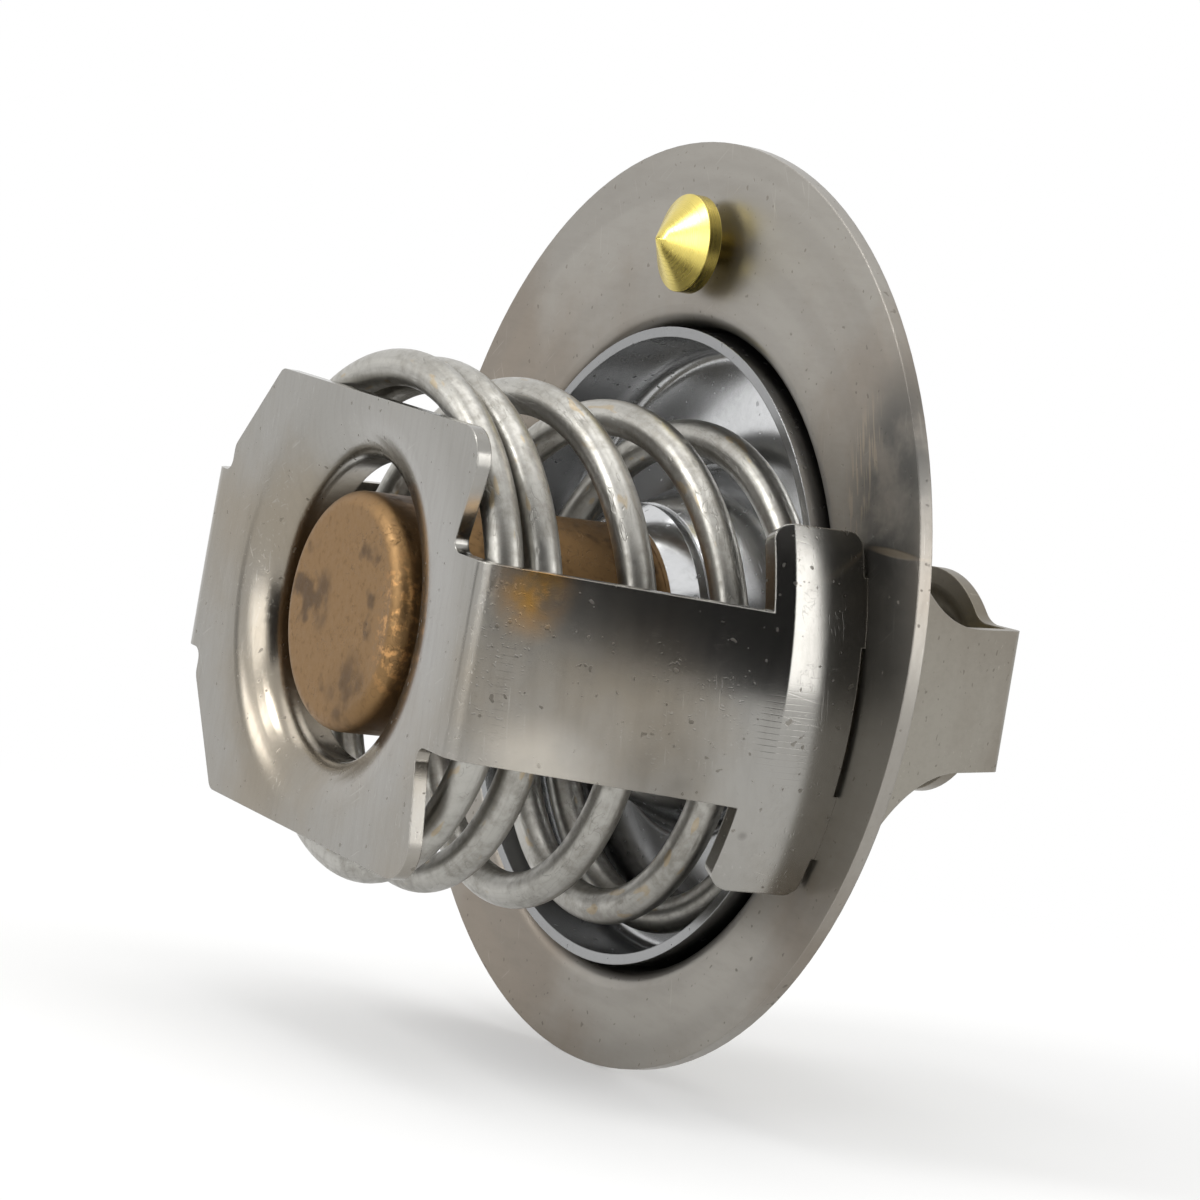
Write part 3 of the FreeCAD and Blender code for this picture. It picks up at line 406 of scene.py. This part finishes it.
def wound_wire(sizes, plate, seat, reach, axis):
    """Mesh of the wire between plate and seat, which keeps each point's place along the wire and round it."""
    span = seat - plate - sizes.wire
    radius = sizes.wire / 2
    count = math.ceil(sizes.turns * sizes.steps)
    shape = bmesh.new()
    along_layer = shape.verts.layers.float.new("along")
    around_layer = shape.verts.layers.float_vector.new("around")
    rings = []
    for index in range(count + 1):
        turn = sizes.turns * index / count
        swept = sizes.start_angle + 2 * math.pi * turn
        along = coil_place(turn, sizes, span)
        drop = sizes.lean * along / span
        height = axis + reach * math.sin(swept) - drop
        middle = Vector((plate + radius + along, reach * math.cos(swept), height))
        outward = Vector((0.0, math.cos(swept), math.sin(swept)))
        ring = []
        for side in range(sizes.sides):
            swing = 2 * math.pi * side / sizes.sides
            offset = outward * math.cos(swing) + Vector((1.0, 0.0, 0.0)) * math.sin(swing)
            point = shape.verts.new(middle + offset * radius)
            point[along_layer] = 2 * math.pi * turn * reach
            point[around_layer] = Vector((math.cos(swing), math.sin(swing), 0.0)) * radius
            ring.append(point)
        rings.append(ring)
    for before, after in zip(rings, rings[1:]):
        for side in range(sizes.sides):
            other = (side + 1) % sizes.sides
            shape.faces.new((before[side], before[other], after[other], after[side]))
    shape.faces.new(reversed(rings[0]))
    shape.faces.new(rings[-1])
    bmesh.ops.recalc_face_normals(shape, faces=shape.faces)
    for face in shape.faces:
        face.smooth = len(face.verts) == 4
    mesh = bpy.data.meshes.new("main_spring_wire")
    shape.to_mesh(mesh)
    shape.free()
    return mesh


def drawn_wire(colours):
    """Steel wire with die lines along it, dull mottling, nicks and golden specks."""
    paint = Paint("drawn_wire")
    along = paint.node("Attribute", {"attribute_name": "along"}).outputs["Fac"]
    around = paint.node("Attribute", {"attribute_name": "around"}).outputs["Vector"]
    parts = paint.node("SeparateXYZ", Vector=around).outputs
    wrapped = paint.node("CombineXYZ", X=parts["X"], Y=parts["Y"], Z=along).outputs["Vector"]

    def drawn(stretch):
        """Place on the wire, for a pattern drawn out along it."""
        return paint.stretched((1.0, 1.0, stretch), wrapped)

    lines = paint.noise(4200.0, 3.0, 0.6, drawn(0.04))
    mottle = paint.noise(1300.0, 4.0, 0.65, wrapped)
    patches = paint.noise(190.0, 3.0, 0.5, wrapped)
    pits = paint.span(paint.noise(2600.0, 1.0, 0.4, drawn(0.4)), 0.68, 0.76)
    specks = paint.span(paint.noise(1700.0, 1.0, 0.4, drawn(0.3)), 0.68, 0.74)
    nicks = paint.curls(1200.0, 0.014, 0.47, drawn(0.45))
    dull = paint.sum(paint.product(mottle, 0.5), paint.product(patches, 0.5))
    paint.base = paint.mix(paint.span(dull, 0.40, 0.64), colours.wire, colours.wire_dark)
    paint.tint(paint.span(lines, 0.45, 0.75), shaded(colours.wire_dark, 0.5), 0.22)
    paint.tint(specks, colours.wire_speck, 0.4)
    paint.tint(nicks, shaded(colours.wire_dark, 0.4), 0.35)
    paint.lift(lines, 0.006)
    paint.lift(mottle, 0.004)
    paint.lift(pits, -0.008)
    paint.lift(nicks, -0.008)
    roughness = paint.sum(paint.span(mottle, 0.3, 0.7, 0.31, 0.45), paint.product(pits, 0.15))
    return paint.finish(roughness, Metallic=1.0)


class THERMOSTAT_OT_spring(bpy.types.Operator):
    """Wind the main spring"""

    bl_idname = "thermostat.spring"
    bl_label = "Main spring"

    def execute(self, context):
        sizes = context.scene.thermostat_spring
        low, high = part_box("main_spring")
        reach = (high.y - low.y - sizes.wire) / 2
        axis = centre("piston")[2]
        mesh = wound_wire(sizes, low.x, high.x, reach, axis)
        mesh.materials.append(drawn_wire(context.scene.thermostat_colours))
        spring = bpy.data.objects.new("spring_wire", mesh)
        context.scene.collection.objects.link(spring)
        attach(spring, "housing")
        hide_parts("main_spring")
        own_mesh(spring)
        return {"FINISHED"}


# Painted shade and wear on the flange's face, placed from the flange's centre: the patch is a painted dark
# reflection beside the near foot, the hatch and the line are rub marks
FLANGE_PAINTED_SHADE = WearAndLightPatch((0.0, -22.6, 9.5), (3.0, 5.2, 9.5), 0.25, 0.90)
FLANGE_HATCH = WearAndLightPatch((0.0, -19.6, 10.2), (3.0, 1.8, 5.0), 0.4, 0.24)
WITNESS_LINE = WearAndLightPatch((0.0, -23.8, 6.1), (3.0, 2.9, 0.28), 0.5, 0.45)
HATCH_STROKES = Strokes("X", 20.0, 4200.0, 420.0)
RING_SHADE = (0.20, 0.185, 0.165)


class THERMOSTAT_OT_flange(bpy.types.Operator):
    """Finish the mounting flange in satin steel"""

    bl_idname = "thermostat.flange"
    bl_label = "Mounting flange"

    def execute(self, context):
        colours = context.scene.thermostat_colours
        marks = (Strokes("X", 12.0), Strokes("X", 32.0, 5200.0, 260.0), Strokes("X", -50.0, 6800.0, 380.0))
        steel = SheetSteel("flange_steel", colours.flange, colours.flange_stain, (1.0, 0.12, 0.5),
                           (0.28, 0.38), marks)
        self.add_drawing_rings(steel)
        self.add_painted_shade_and_wear(steel, colours)
        dress("mounting_flange", steel.done())
        return {"FINISHED"}

    def add_drawing_rings(self, steel):
        """Soft rings around the bore, left by the press."""
        rings = steel.noise(420.0, 2.0, 0.5, steel.ring_place(0.0, centre("piston")[2], 0.06))
        steel.tint(steel.span(rings, 0.42, 0.62), RING_SHADE, 0.22)

    def add_painted_shade_and_wear(self, steel, colours):
        """Painted shade as a dull dark patch in place of a dark reflection, hatched rub marks and a witness
        line on the near side of the flange.
        """
        origin = (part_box("mounting_flange")[0].x, 0.0, 0.0)
        cloud = steel.span(steel.noise(300.0, 4.0, 0.6), 0.30, 0.62, 0.35, 1.0)
        # Painted shade: the dark patch on the flange's face beside the near foot
        steel.add_patch(FLANGE_PAINTED_SHADE, origin, colours.flange_painted_shade, cloud)
        hatching = steel.strokes(HATCH_STROKES, (0.52, 0.60))
        steel.add_patch(FLANGE_HATCH, origin, colours.flange_rub, hatching)
        line = steel.add_patch(WITNESS_LINE, origin, colours.flange_rub)
        steel.lift(line, -0.006)


# Soft outer part of the dish round the plate's hole, in metres and, for the depth, in millimetres
DISH_OUTER_RADIUS = 14.2 * MM
DISH_INNER_RADIUS = 8.0 * MM
DISH_DEPTH = 0.76

# Patches placed from the middle of the frame's near side, at the plate's end: a painted reflection that
# lightens the leg low down, then a heat tint and tool marks beside the bend
LEG_PAINTED_SHEEN = WearAndLightPatch((4.0, 6.0, -5.6), (4.4, 5.0, 3.8), 0.25, 0.60)
HEAT_TINT = WearAndLightPatch((2.6, 6.2, 4.4), (2.6, 5.0, 3.6), 0.0, 0.9)
BEND_MARKS = WearAndLightPatch((1.9, 7.0, 0.0), (0.60, 5.0, 6.4), 0.3, 0.16)
BEND_MARK_PITCH = 0.42 * MM
BEND_MARK_SHADE = (0.09, 0.08, 0.07)

# Patches placed from the middle of the frame's near side, at the feet's end: a painted shade that darkens the
# leg low down, then scuffs and a dent on the foot
LEG_PAINTED_SHADE = WearAndLightPatch((-9.6, 2.5, -4.4), (3.4, 5.0, 4.6), 0.2, 0.50)
FOOT_SCUFFS = WearAndLightPatch((-3.8, 0.0, -1.6), (2.4, 4.0, 3.4), 0.5, 0.22)
SCUFF_PITCH = 0.34 * MM
SCUFF_SHADE = (0.10, 0.09, 0.08)
DENT_PLACE = (-5.0, 0.0, -7.3)
FOOT_DENT = WearAndLightPatch(DENT_PLACE, (0.36, 3.0, 0.36), 0.4, 0.5)
DENT_MIDDLE = WearAndLightPatch(DENT_PLACE, (0.24, 3.0, 0.24), 0.3)
DENT_SHADE = (0.12, 0.11, 0.10)


class THERMOSTAT_OT_lower_frame(bpy.types.Operator):
    """Finish the folded lower frame in brushed steel"""

    bl_idname = "thermostat.lower_frame"
    bl_label = "Lower frame"

    def execute(self, context):
        colours = context.scene.thermostat_colours
        marks = (
            Strokes("X", 35.0),
            Strokes("X", -60.0, 5600.0, 320.0),
            Strokes("Y", 80.0, 6000.0, 180.0),
            Strokes("Y", 8.0, 6400.0, 260.0),
        )
        steel = SheetSteel("frame_steel", colours.cage, colours.cage_stain, (0.5, 1.0, 0.1),
                           (0.14, 0.20), marks)
        low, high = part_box("lower_frame")
        axis = centre("lower_frame")[2]
        plate_end = (low.x, low.y, axis)
        foot_end = (high.x, low.y, axis)
        self.add_soft_dish(steel)
        self.add_leg_painted_light_and_tint(steel, colours, plate_end, foot_end)
        self.add_foot_marks(steel, foot_end)
        self.add_bend_marks(steel, plate_end)
        dress("lower_frame", steel.done())
        return {"FINISHED"}

    def add_soft_dish(self, steel):
        """Soft pull of the plate towards its pressed hole."""
        around = steel.ring_place(0.0, centre("wax_capsule")[2])
        radius = steel.node("SeparateXYZ", Vector=around).outputs["X"]
        steel.lift(steel.span(radius, DISH_OUTER_RADIUS, DISH_INNER_RADIUS), -DISH_DEPTH)

    def add_leg_painted_light_and_tint(self, steel, colours, plate_end, foot_end):
        """Painted reflection that lightens the near leg low at the plate's end, painted shade that darkens it
        low at the feet's end, and a golden heat tint.
        """
        cloud = steel.span(steel.noise(230.0, 3.0, 0.5), 0.32, 0.60, 0.55, 1.0)
        # Painted reflection: lighter patch low on the near leg at the plate's end
        steel.add_patch(LEG_PAINTED_SHEEN, plate_end, colours.cage_painted_sheen, cloud)
        # Painted shade: darker patch low on the near leg at the feet's end
        steel.add_patch(LEG_PAINTED_SHADE, foot_end, colours.cage_painted_shade, cloud)
        blotches = steel.span(steel.noise(420.0, 3.0, 0.6), 0.3, 0.6, 0.35)
        steel.add_patch(HEAT_TINT, plate_end, colours.heat_tint, blotches)

    def add_foot_marks(self, steel, foot_end):
        """Scuffed patch and a small round dent with a raised middle on the near foot."""
        lines = steel.comb("Z", SCUFF_PITCH, 0.04 * MM)
        scuffs = steel.add_patch(FOOT_SCUFFS, foot_end, SCUFF_SHADE, lines)
        steel.lift(scuffs, -0.004)
        dent = steel.add_patch(FOOT_DENT, foot_end, DENT_SHADE)
        steel.lift(dent, -0.032)
        steel.lift(steel.patch(DENT_MIDDLE, foot_end), 0.024)

    def add_bend_marks(self, steel, plate_end):
        """Row of fine tool marks across the near leg, beside its bend."""
        lines = steel.comb("Z", BEND_MARK_PITCH, 0.03 * MM)
        marks = steel.add_patch(BEND_MARKS, plate_end, BEND_MARK_SHADE, lines)
        steel.lift(marks, -0.00048)


# Painted shade low in the cup, placed from the point of the axis at X = 0
CUP_PAINTED_SHADE_PATCH = WearAndLightPatch((3.0, 0.0, -12.0), (5.0, 16.0, 9.0), 0.4, 0.60)
LOW_CUP_PAINTED_SHADE = (0.10, 0.10, 0.10)
WALL_PAINTED_SHADE = (0.12, 0.12, 0.12)


class THERMOSTAT_OT_valve_cup(bpy.types.Operator):
    """Finish the drawn valve cup"""

    bl_idname = "thermostat.valve_cup"
    bl_label = "Valve cup"

    def execute(self, context):
        colours = context.scene.thermostat_colours
        marks = (Strokes("X", 50.0, 4200.0, 300.0),)
        steel = SheetSteel("cup_steel", colours.cup, shaded(colours.cup, 0.9), (1.0, 1.0, 1.0),
                           (0.13, 0.20), marks, 0.08 * MM)
        # Painted shade inside the cup
        self.add_painted_cup_shade(steel)
        dress("valve_cup", steel.done())
        dress("retaining_collar", polished_steel("polished_steel", colours))
        return {"FINISHED"}

    def add_painted_cup_shade(self, steel):
        """Painted shade: the outer wall darker towards the cup's rim, and the lower part of the cup darker.
        """
        axis = centre("piston")[2]
        parts = steel.node("SeparateXYZ", Vector=steel.ring_place(0.0, axis)).outputs
        far_out = steel.span(parts["X"], 12.5 * MM, 14.5 * MM)
        near_rim = steel.span(parts["Y"], 4.0 * MM, 2.2 * MM)
        # Painted shade: darker outer wall towards the rim
        steel.tint(steel.product(far_out, near_rim), WALL_PAINTED_SHADE, 0.68)
        # Painted shade: darker low in the cup
        steel.add_patch(CUP_PAINTED_SHADE_PATCH, (0.0, 0.0, axis), LOW_CUP_PAINTED_SHADE)


def polished_steel(name, colours):
    """Turned and polished steel with hair lines and a few dull clouds."""
    marks = (Strokes("Y", 88.0, 6000.0, 300.0),)
    steel = SheetSteel(name, colours.polished, colours.cup, (0.2, 1.0, 1.0), (0.07, 0.13), marks, 0.05 * MM)
    return steel.done()


# Stains on the capsule's end and its worn edge, placed from the middle of that end
COPPER_BLOTS = (
    WearAndLightPatch((0.0, 2.2, 0.2), (2.0, 1.3, 2.4), 0.4),
    WearAndLightPatch((0.0, -2.4, -4.6), (2.0, 3.0, 3.2), 0.35),
)
WORN_EDGE = WearAndLightPatch((0.4, -6.4, 0.0), (2.2, 2.4, 6.2), 0.2)


def dull_copper(colours):
    """Copper with soft dark stains, small dents and an edge worn bright."""
    paint = Paint("dull_copper")
    cloud = paint.noise(330.0, 3.0, 0.55)
    grain = paint.noise(1900.0, 4.0, 0.65)
    dents = paint.noise(760.0, 2.0, 0.5, distortion=0.8)
    curls = paint.curls(1300.0, 0.02, 0.50)
    origin = (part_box("wax_capsule")[0].x, 0.0, centre("wax_capsule")[2])
    normal, rim = paint.rounded(0.25 * MM)
    paint.base = paint.mix(paint.span(cloud, 0.54, 0.66), colours.copper, colours.copper_dark)
    paint.tint(paint.span(grain, 0.55, 0.70), colours.copper_dark, 0.4)
    paint.tint(curls, shaded(colours.copper_dark, 0.5), 0.5)
    blots = paint.sum(*[paint.patch(blot, origin) for blot in COPPER_BLOTS])
    paint.tint(paint.product(blots, paint.span(cloud, 0.40, 0.52, 0.2, 0.9)), colours.copper_dark)
    edge = paint.patch(WORN_EDGE, origin)
    worn = paint.product(edge, paint.span(paint.sum(grain, paint.product(rim, 0.15)), 0.48, 0.66))
    paint.tint(worn, colours.copper_bright)
    paint.lift(grain, 0.010)
    paint.lift(dents, 0.014)
    paint.lift(curls, -0.010)
    paint.lift(paint.product(edge, dents), 0.090)
    roughness = paint.sum(paint.span(grain, 0.3, 0.7, 0.40, 0.54), paint.product(worn, -0.14))
    return paint.finish(roughness, normal, Metallic=1.0)


def turned_brass(name, brass, y, z):
    """Brass with fine rings from the lathe round an axis at y and z."""
    paint = Paint(name)
    rings = paint.noise(11000.0, 2.0, 0.6, paint.ring_place(y, z, 0.0))
    cloud = paint.noise(420.0, 3.0, 0.5)
    normal, rim = paint.rounded(0.08 * MM)
    paint.base = paint.mix(paint.span(cloud, 0.4, 0.7), brass, shaded(brass, 0.85))
    paint.tint(paint.span(rings, 0.45, 0.7), shaded(brass, 0.5), 0.12)
    paint.lift(rings, 0.0015)
    paint.lift(rim, 0.00045)
    return paint.finish(paint.span(rings, 0.3, 0.7, 0.24, 0.34), normal, Metallic=1.0)


def plain_stuff(name, shade, roughness):
    """Dull non-metal with clouds and a fine grain."""
    paint = Paint(name)
    cloud = paint.noise(300.0, 4.0, 0.6)
    grain = paint.noise(2600.0, 2.0, 0.5)
    paint.base = paint.mix(paint.span(cloud, 0.35, 0.7), shade, shaded(shade, 0.72))
    paint.lift(grain, 0.02)
    return paint.finish(paint.span(grain, 0.3, 0.7, roughness - 0.08, roughness + 0.08))


class THERMOSTAT_OT_wax_element(bpy.types.Operator):
    """Finish the copper capsule and what it holds"""

    bl_idname = "thermostat.wax_element"
    bl_label = "Wax element"

    def execute(self, context):
        colours = context.scene.thermostat_colours
        axis = centre("piston")[2]
        dress("wax_capsule", dull_copper(colours))
        dress("piston_guide", turned_brass("turned_brass", colours.brass, 0.0, axis))
        dress("piston", polished_steel("ground_steel", colours))
        dress("wax_charge", plain_stuff("wax", colours.wax, 0.6))
        dress("rubber_sleeve", plain_stuff("black_rubber", colours.rubber, 0.55))
        dress("backup_washer", plain_stuff("white_plastic", colours.plastic, 0.4))
        return {"FINISHED"}


class THERMOSTAT_OT_jiggle_pin(bpy.types.Operator):
    """Finish the jiggle pin in turned brass"""

    bl_idname = "thermostat.jiggle_pin"
    bl_label = "Jiggle pin"

    def execute(self, context):
        y, z = centre("jiggle_pin")[1:]
        brass = turned_brass("yellow_brass", context.scene.thermostat_colours.brass, y, z)
        dress("jiggle_pin", brass)
        return {"FINISHED"}


class THERMOSTAT_OT_outlet_bridge(bpy.types.Operator):
    """Finish the bridge in satin steel"""

    bl_idname = "thermostat.outlet_bridge"
    bl_label = "Outlet bridge"

    def execute(self, context):
        colours = context.scene.thermostat_colours
        marks = (Strokes("Y", 85.0, 4800.0, 160.0), Strokes("X", 40.0, 5200.0, 260.0))
        steel = SheetSteel("bridge_steel", colours.bridge, colours.bridge_stain, (0.12, 1.0, 1.0),
                           (0.26, 0.36), marks)
        dress("outlet_bridge", steel.done())
        return {"FINISHED"}


# Square lamps: name, place and side in metres, and the property that holds the brightness
LAMPS = (
    ("key_light", (0.46, -0.42, 0.14), 0.46, "key"),
    ("left_light", (-0.62, -0.09, 0.10), 0.30, "left"),
    ("top_light", (0.0, 0.10, 0.60), 0.50, "top"),
    ("upper_left_light", (-0.52, 0.13, 0.42), 0.20, "upper_left"),
    ("far_left_light", (-0.41, 0.256, 0.13), 0.13, "far_left"),
)

# Cards that only reflections show: name, width, height and place in metres, and shade
CARDS = (
    ("camera_side_card", 0.21, 0.165, (-0.080, -0.144, 0.066), 0.03),
    ("far_left_card", 0.045, 0.042, (-0.198, 0.153, -0.009), 0.30),
)

FLOOR_RADIUS = 3.0
FLOOR_CORNERS = 96

# The floor fades to white between two distances from its middle, in metres, and is partly white at the first
FADE_START = 0.02
FADE_END = 0.11
FADE_LEAST = 0.35

# Width of the camera's sensor in millimetres
SENSOR = 36.0


def look_at(thing, target):
    """Turn a light or card so that its face points at a place."""
    thing.rotation_euler = (Vector(target) - thing.location).to_track_quat("-Z", "Y").to_euler()


def flat_card(name, width, height, place, shade):
    """Plain card beside the object, outside the picture, that only its metal reflects."""
    mesh = bpy.data.meshes.new(name)
    corners = [(x * width / 2, y * height / 2, 0.0) for x, y in ((-1, -1), (1, -1), (1, 1), (-1, 1))]
    mesh.from_pydata(corners, [], [(0, 1, 2, 3)])
    card = bpy.data.objects.new(name, mesh)
    bpy.context.scene.collection.objects.link(card)
    card.location = place
    look_at(card, (0.0, 0.0, place[2]))
    paint = Paint(name)
    glow = paint.node("Emission", Color=(shade, shade, shade, 1.0), Strength=1.0)
    paint.links.new(glow.outputs[0], paint.nodes["Material Output"].inputs["Surface"])
    mesh.materials.append(paint.material)
    card.visible_camera = False
    card.visible_shadow = False
    card.visible_diffuse = False
    card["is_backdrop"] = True


def soft_lamp(name, place, size, strength):
    """Square soft light that points at the object; strength 1 is as bright as a white wall."""
    data = bpy.data.lights.new(name, "AREA")
    data.size = size
    data.energy = strength * math.pi * size * size
    lamp = bpy.data.objects.new(name, data)
    bpy.context.scene.collection.objects.link(lamp)
    lamp.location = place
    look_at(lamp, (0.0, 0.0, 0.0))


def seen_share(nodes, links):
    """1 for what the camera sees directly, in a reflection or through glass, and 0 for other light."""
    path = nodes.new("ShaderNodeLightPath")
    total = path.outputs["Is Camera Ray"]
    for name in ("Is Glossy Ray", "Is Transmission Ray"):
        most = nodes.new("ShaderNodeMath")
        most.operation = "MAXIMUM"
        links.new(total, most.inputs[0])
        links.new(path.outputs[name], most.inputs[1])
        total = most.outputs[0]
    return total


class THERMOSTAT_OT_stage(bpy.types.Operator):
    """Set up the floor, the lights, the surroundings and the camera"""

    bl_idname = "thermostat.stage"
    bl_label = "Stage"

    def execute(self, context):
        studio = context.scene.thermostat_studio
        self.make_world(context, studio)
        self.make_floor(context, studio)
        for name, place, size, strength in LAMPS:
            soft_lamp(name, place, size, getattr(studio, strength))
        for name, width, height, place, shade in CARDS:
            flat_card(name, width, height, place, shade)
        self.make_camera(context, studio)
        context.scene.view_settings.view_transform = "Standard"
        return {"FINISHED"}

    def make_world(self, context, studio):
        """White surroundings, weaker on dull surfaces."""
        world = bpy.data.worlds.new("surroundings")
        context.scene.world = world
        world.use_nodes = True
        nodes = world.node_tree.nodes
        links = world.node_tree.links
        lit = nodes["Background"]
        lit.inputs["Strength"].default_value = studio.sky
        lit.inputs["Color"].default_value = (1.0, 1.0, 1.0, 1.0)
        seen = nodes.new("ShaderNodeBackground")
        seen.inputs["Color"].default_value = (1.0, 1.0, 1.0, 1.0)
        mix = nodes.new("ShaderNodeMixShader")
        links.new(seen_share(nodes, links), mix.inputs[0])
        links.new(lit.outputs[0], mix.inputs[1])
        links.new(seen.outputs[0], mix.inputs[2])
        links.new(mix.outputs[0], nodes["World Output"].inputs["Surface"])

    def make_floor(self, context, studio):
        """Round pale floor that fades to white away from the object and keeps its shadow."""
        mesh = bpy.data.meshes.new("floor")
        shape = bmesh.new()
        bmesh.ops.create_circle(shape, cap_ends=True, segments=FLOOR_CORNERS, radius=FLOOR_RADIUS)
        shape.to_mesh(mesh)
        shape.free()
        floor = bpy.data.objects.new("floor", mesh)
        context.scene.collection.objects.link(floor)
        floor.location.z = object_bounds()[0].z
        paint = Paint("pale_floor")
        distance = paint.node("VectorMath", {"operation": "LENGTH"}, _0=paint.place).outputs["Value"]
        fade = paint.span(distance, FADE_START, FADE_END, FADE_LEAST, 1.0)
        seen = paint.product(fade, seen_share(paint.nodes, paint.links))
        paint.shader.inputs["Base Color"].default_value = (*studio.floor, 1.0)
        paint.shader.inputs["Roughness"].default_value = 0.9
        paint.shader.inputs["Specular IOR Level"].default_value = 0.0
        white = paint.node("Emission", Strength=1.0)
        mix = paint.node("MixShader", _0=seen, _1=paint.shader.outputs[0], _2=white.outputs[0])
        paint.links.new(mix.outputs[0], paint.nodes["Material Output"].inputs["Surface"])
        mesh.materials.append(paint.material)
        floor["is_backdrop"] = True

    def make_camera(self, context, studio):
        """Camera at the picture's angle."""
        turn = studio.azimuth
        rise = studio.elevation
        back = Vector((math.sin(turn) * math.cos(rise), -math.cos(turn) * math.cos(rise), math.sin(rise)))
        right = Vector((math.cos(turn), math.sin(turn), 0.0))
        up = back.cross(right)
        rolled_right = right * math.cos(studio.roll) + up * math.sin(studio.roll)
        rolled_up = up * math.cos(studio.roll) - right * math.sin(studio.roll)
        data = bpy.data.cameras.new("camera")
        data.lens = studio.lens
        data.sensor_width = SENSOR
        data.clip_start = 0.01
        data.clip_end = 10.0
        camera = bpy.data.objects.new("camera", data)
        context.scene.collection.objects.link(camera)
        camera.matrix_world = Matrix((rolled_right, rolled_up, back)).transposed().to_4x4()
        camera.location = back * studio.distance - rolled_right * studio.aside + rolled_up * studio.upwards
        context.scene.camera = camera


OPERATORS = (
    THERMOSTAT_OT_flange,
    THERMOSTAT_OT_lower_frame,
    THERMOSTAT_OT_spring,
    THERMOSTAT_OT_valve_cup,
    THERMOSTAT_OT_wax_element,
    THERMOSTAT_OT_jiggle_pin,
    THERMOSTAT_OT_outlet_bridge,
    THERMOSTAT_OT_stage,
)


class THERMOSTAT_PT_panel(bpy.types.Panel):
    """Sizes, colours and one button for each piece"""

    bl_idname = "THERMOSTAT_PT_panel"
    bl_label = "Engine thermostat"
    bl_space_type = "VIEW_3D"
    bl_region_type = "UI"
    bl_category = "Thermostat"

    def draw(self, context):
        for scene_name, group in GROUPS.items():
            box = self.layout.box()
            for name in group.__annotations__:
                box.prop(getattr(context.scene, scene_name), name)
        for operator in OPERATORS:
            self.layout.operator(operator.bl_idname)


GROUPS = {
    "thermostat_spring": SpringSizes,
    "thermostat_colours": MetalColours,
    "thermostat_studio": StudioSizes,
}


def register():
    for name, group in GROUPS.items():
        bpy.utils.register_class(group)
        setattr(bpy.types.Scene, name, PointerProperty(type=group))
    for operator in OPERATORS:
        bpy.utils.register_class(operator)
    bpy.utils.register_class(THERMOSTAT_PT_panel)


def unregister():
    bpy.utils.unregister_class(THERMOSTAT_PT_panel)
    for operator in reversed(OPERATORS):
        bpy.utils.unregister_class(operator)
    for name, group in GROUPS.items():
        delattr(bpy.types.Scene, name)
        bpy.utils.unregister_class(group)


def main():
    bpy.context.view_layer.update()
    register()
    for operator in OPERATORS:
        module, name = operator.bl_idname.split(".")
        getattr(getattr(bpy.ops, module), name)()


if __name__ == "__main__":
    main()
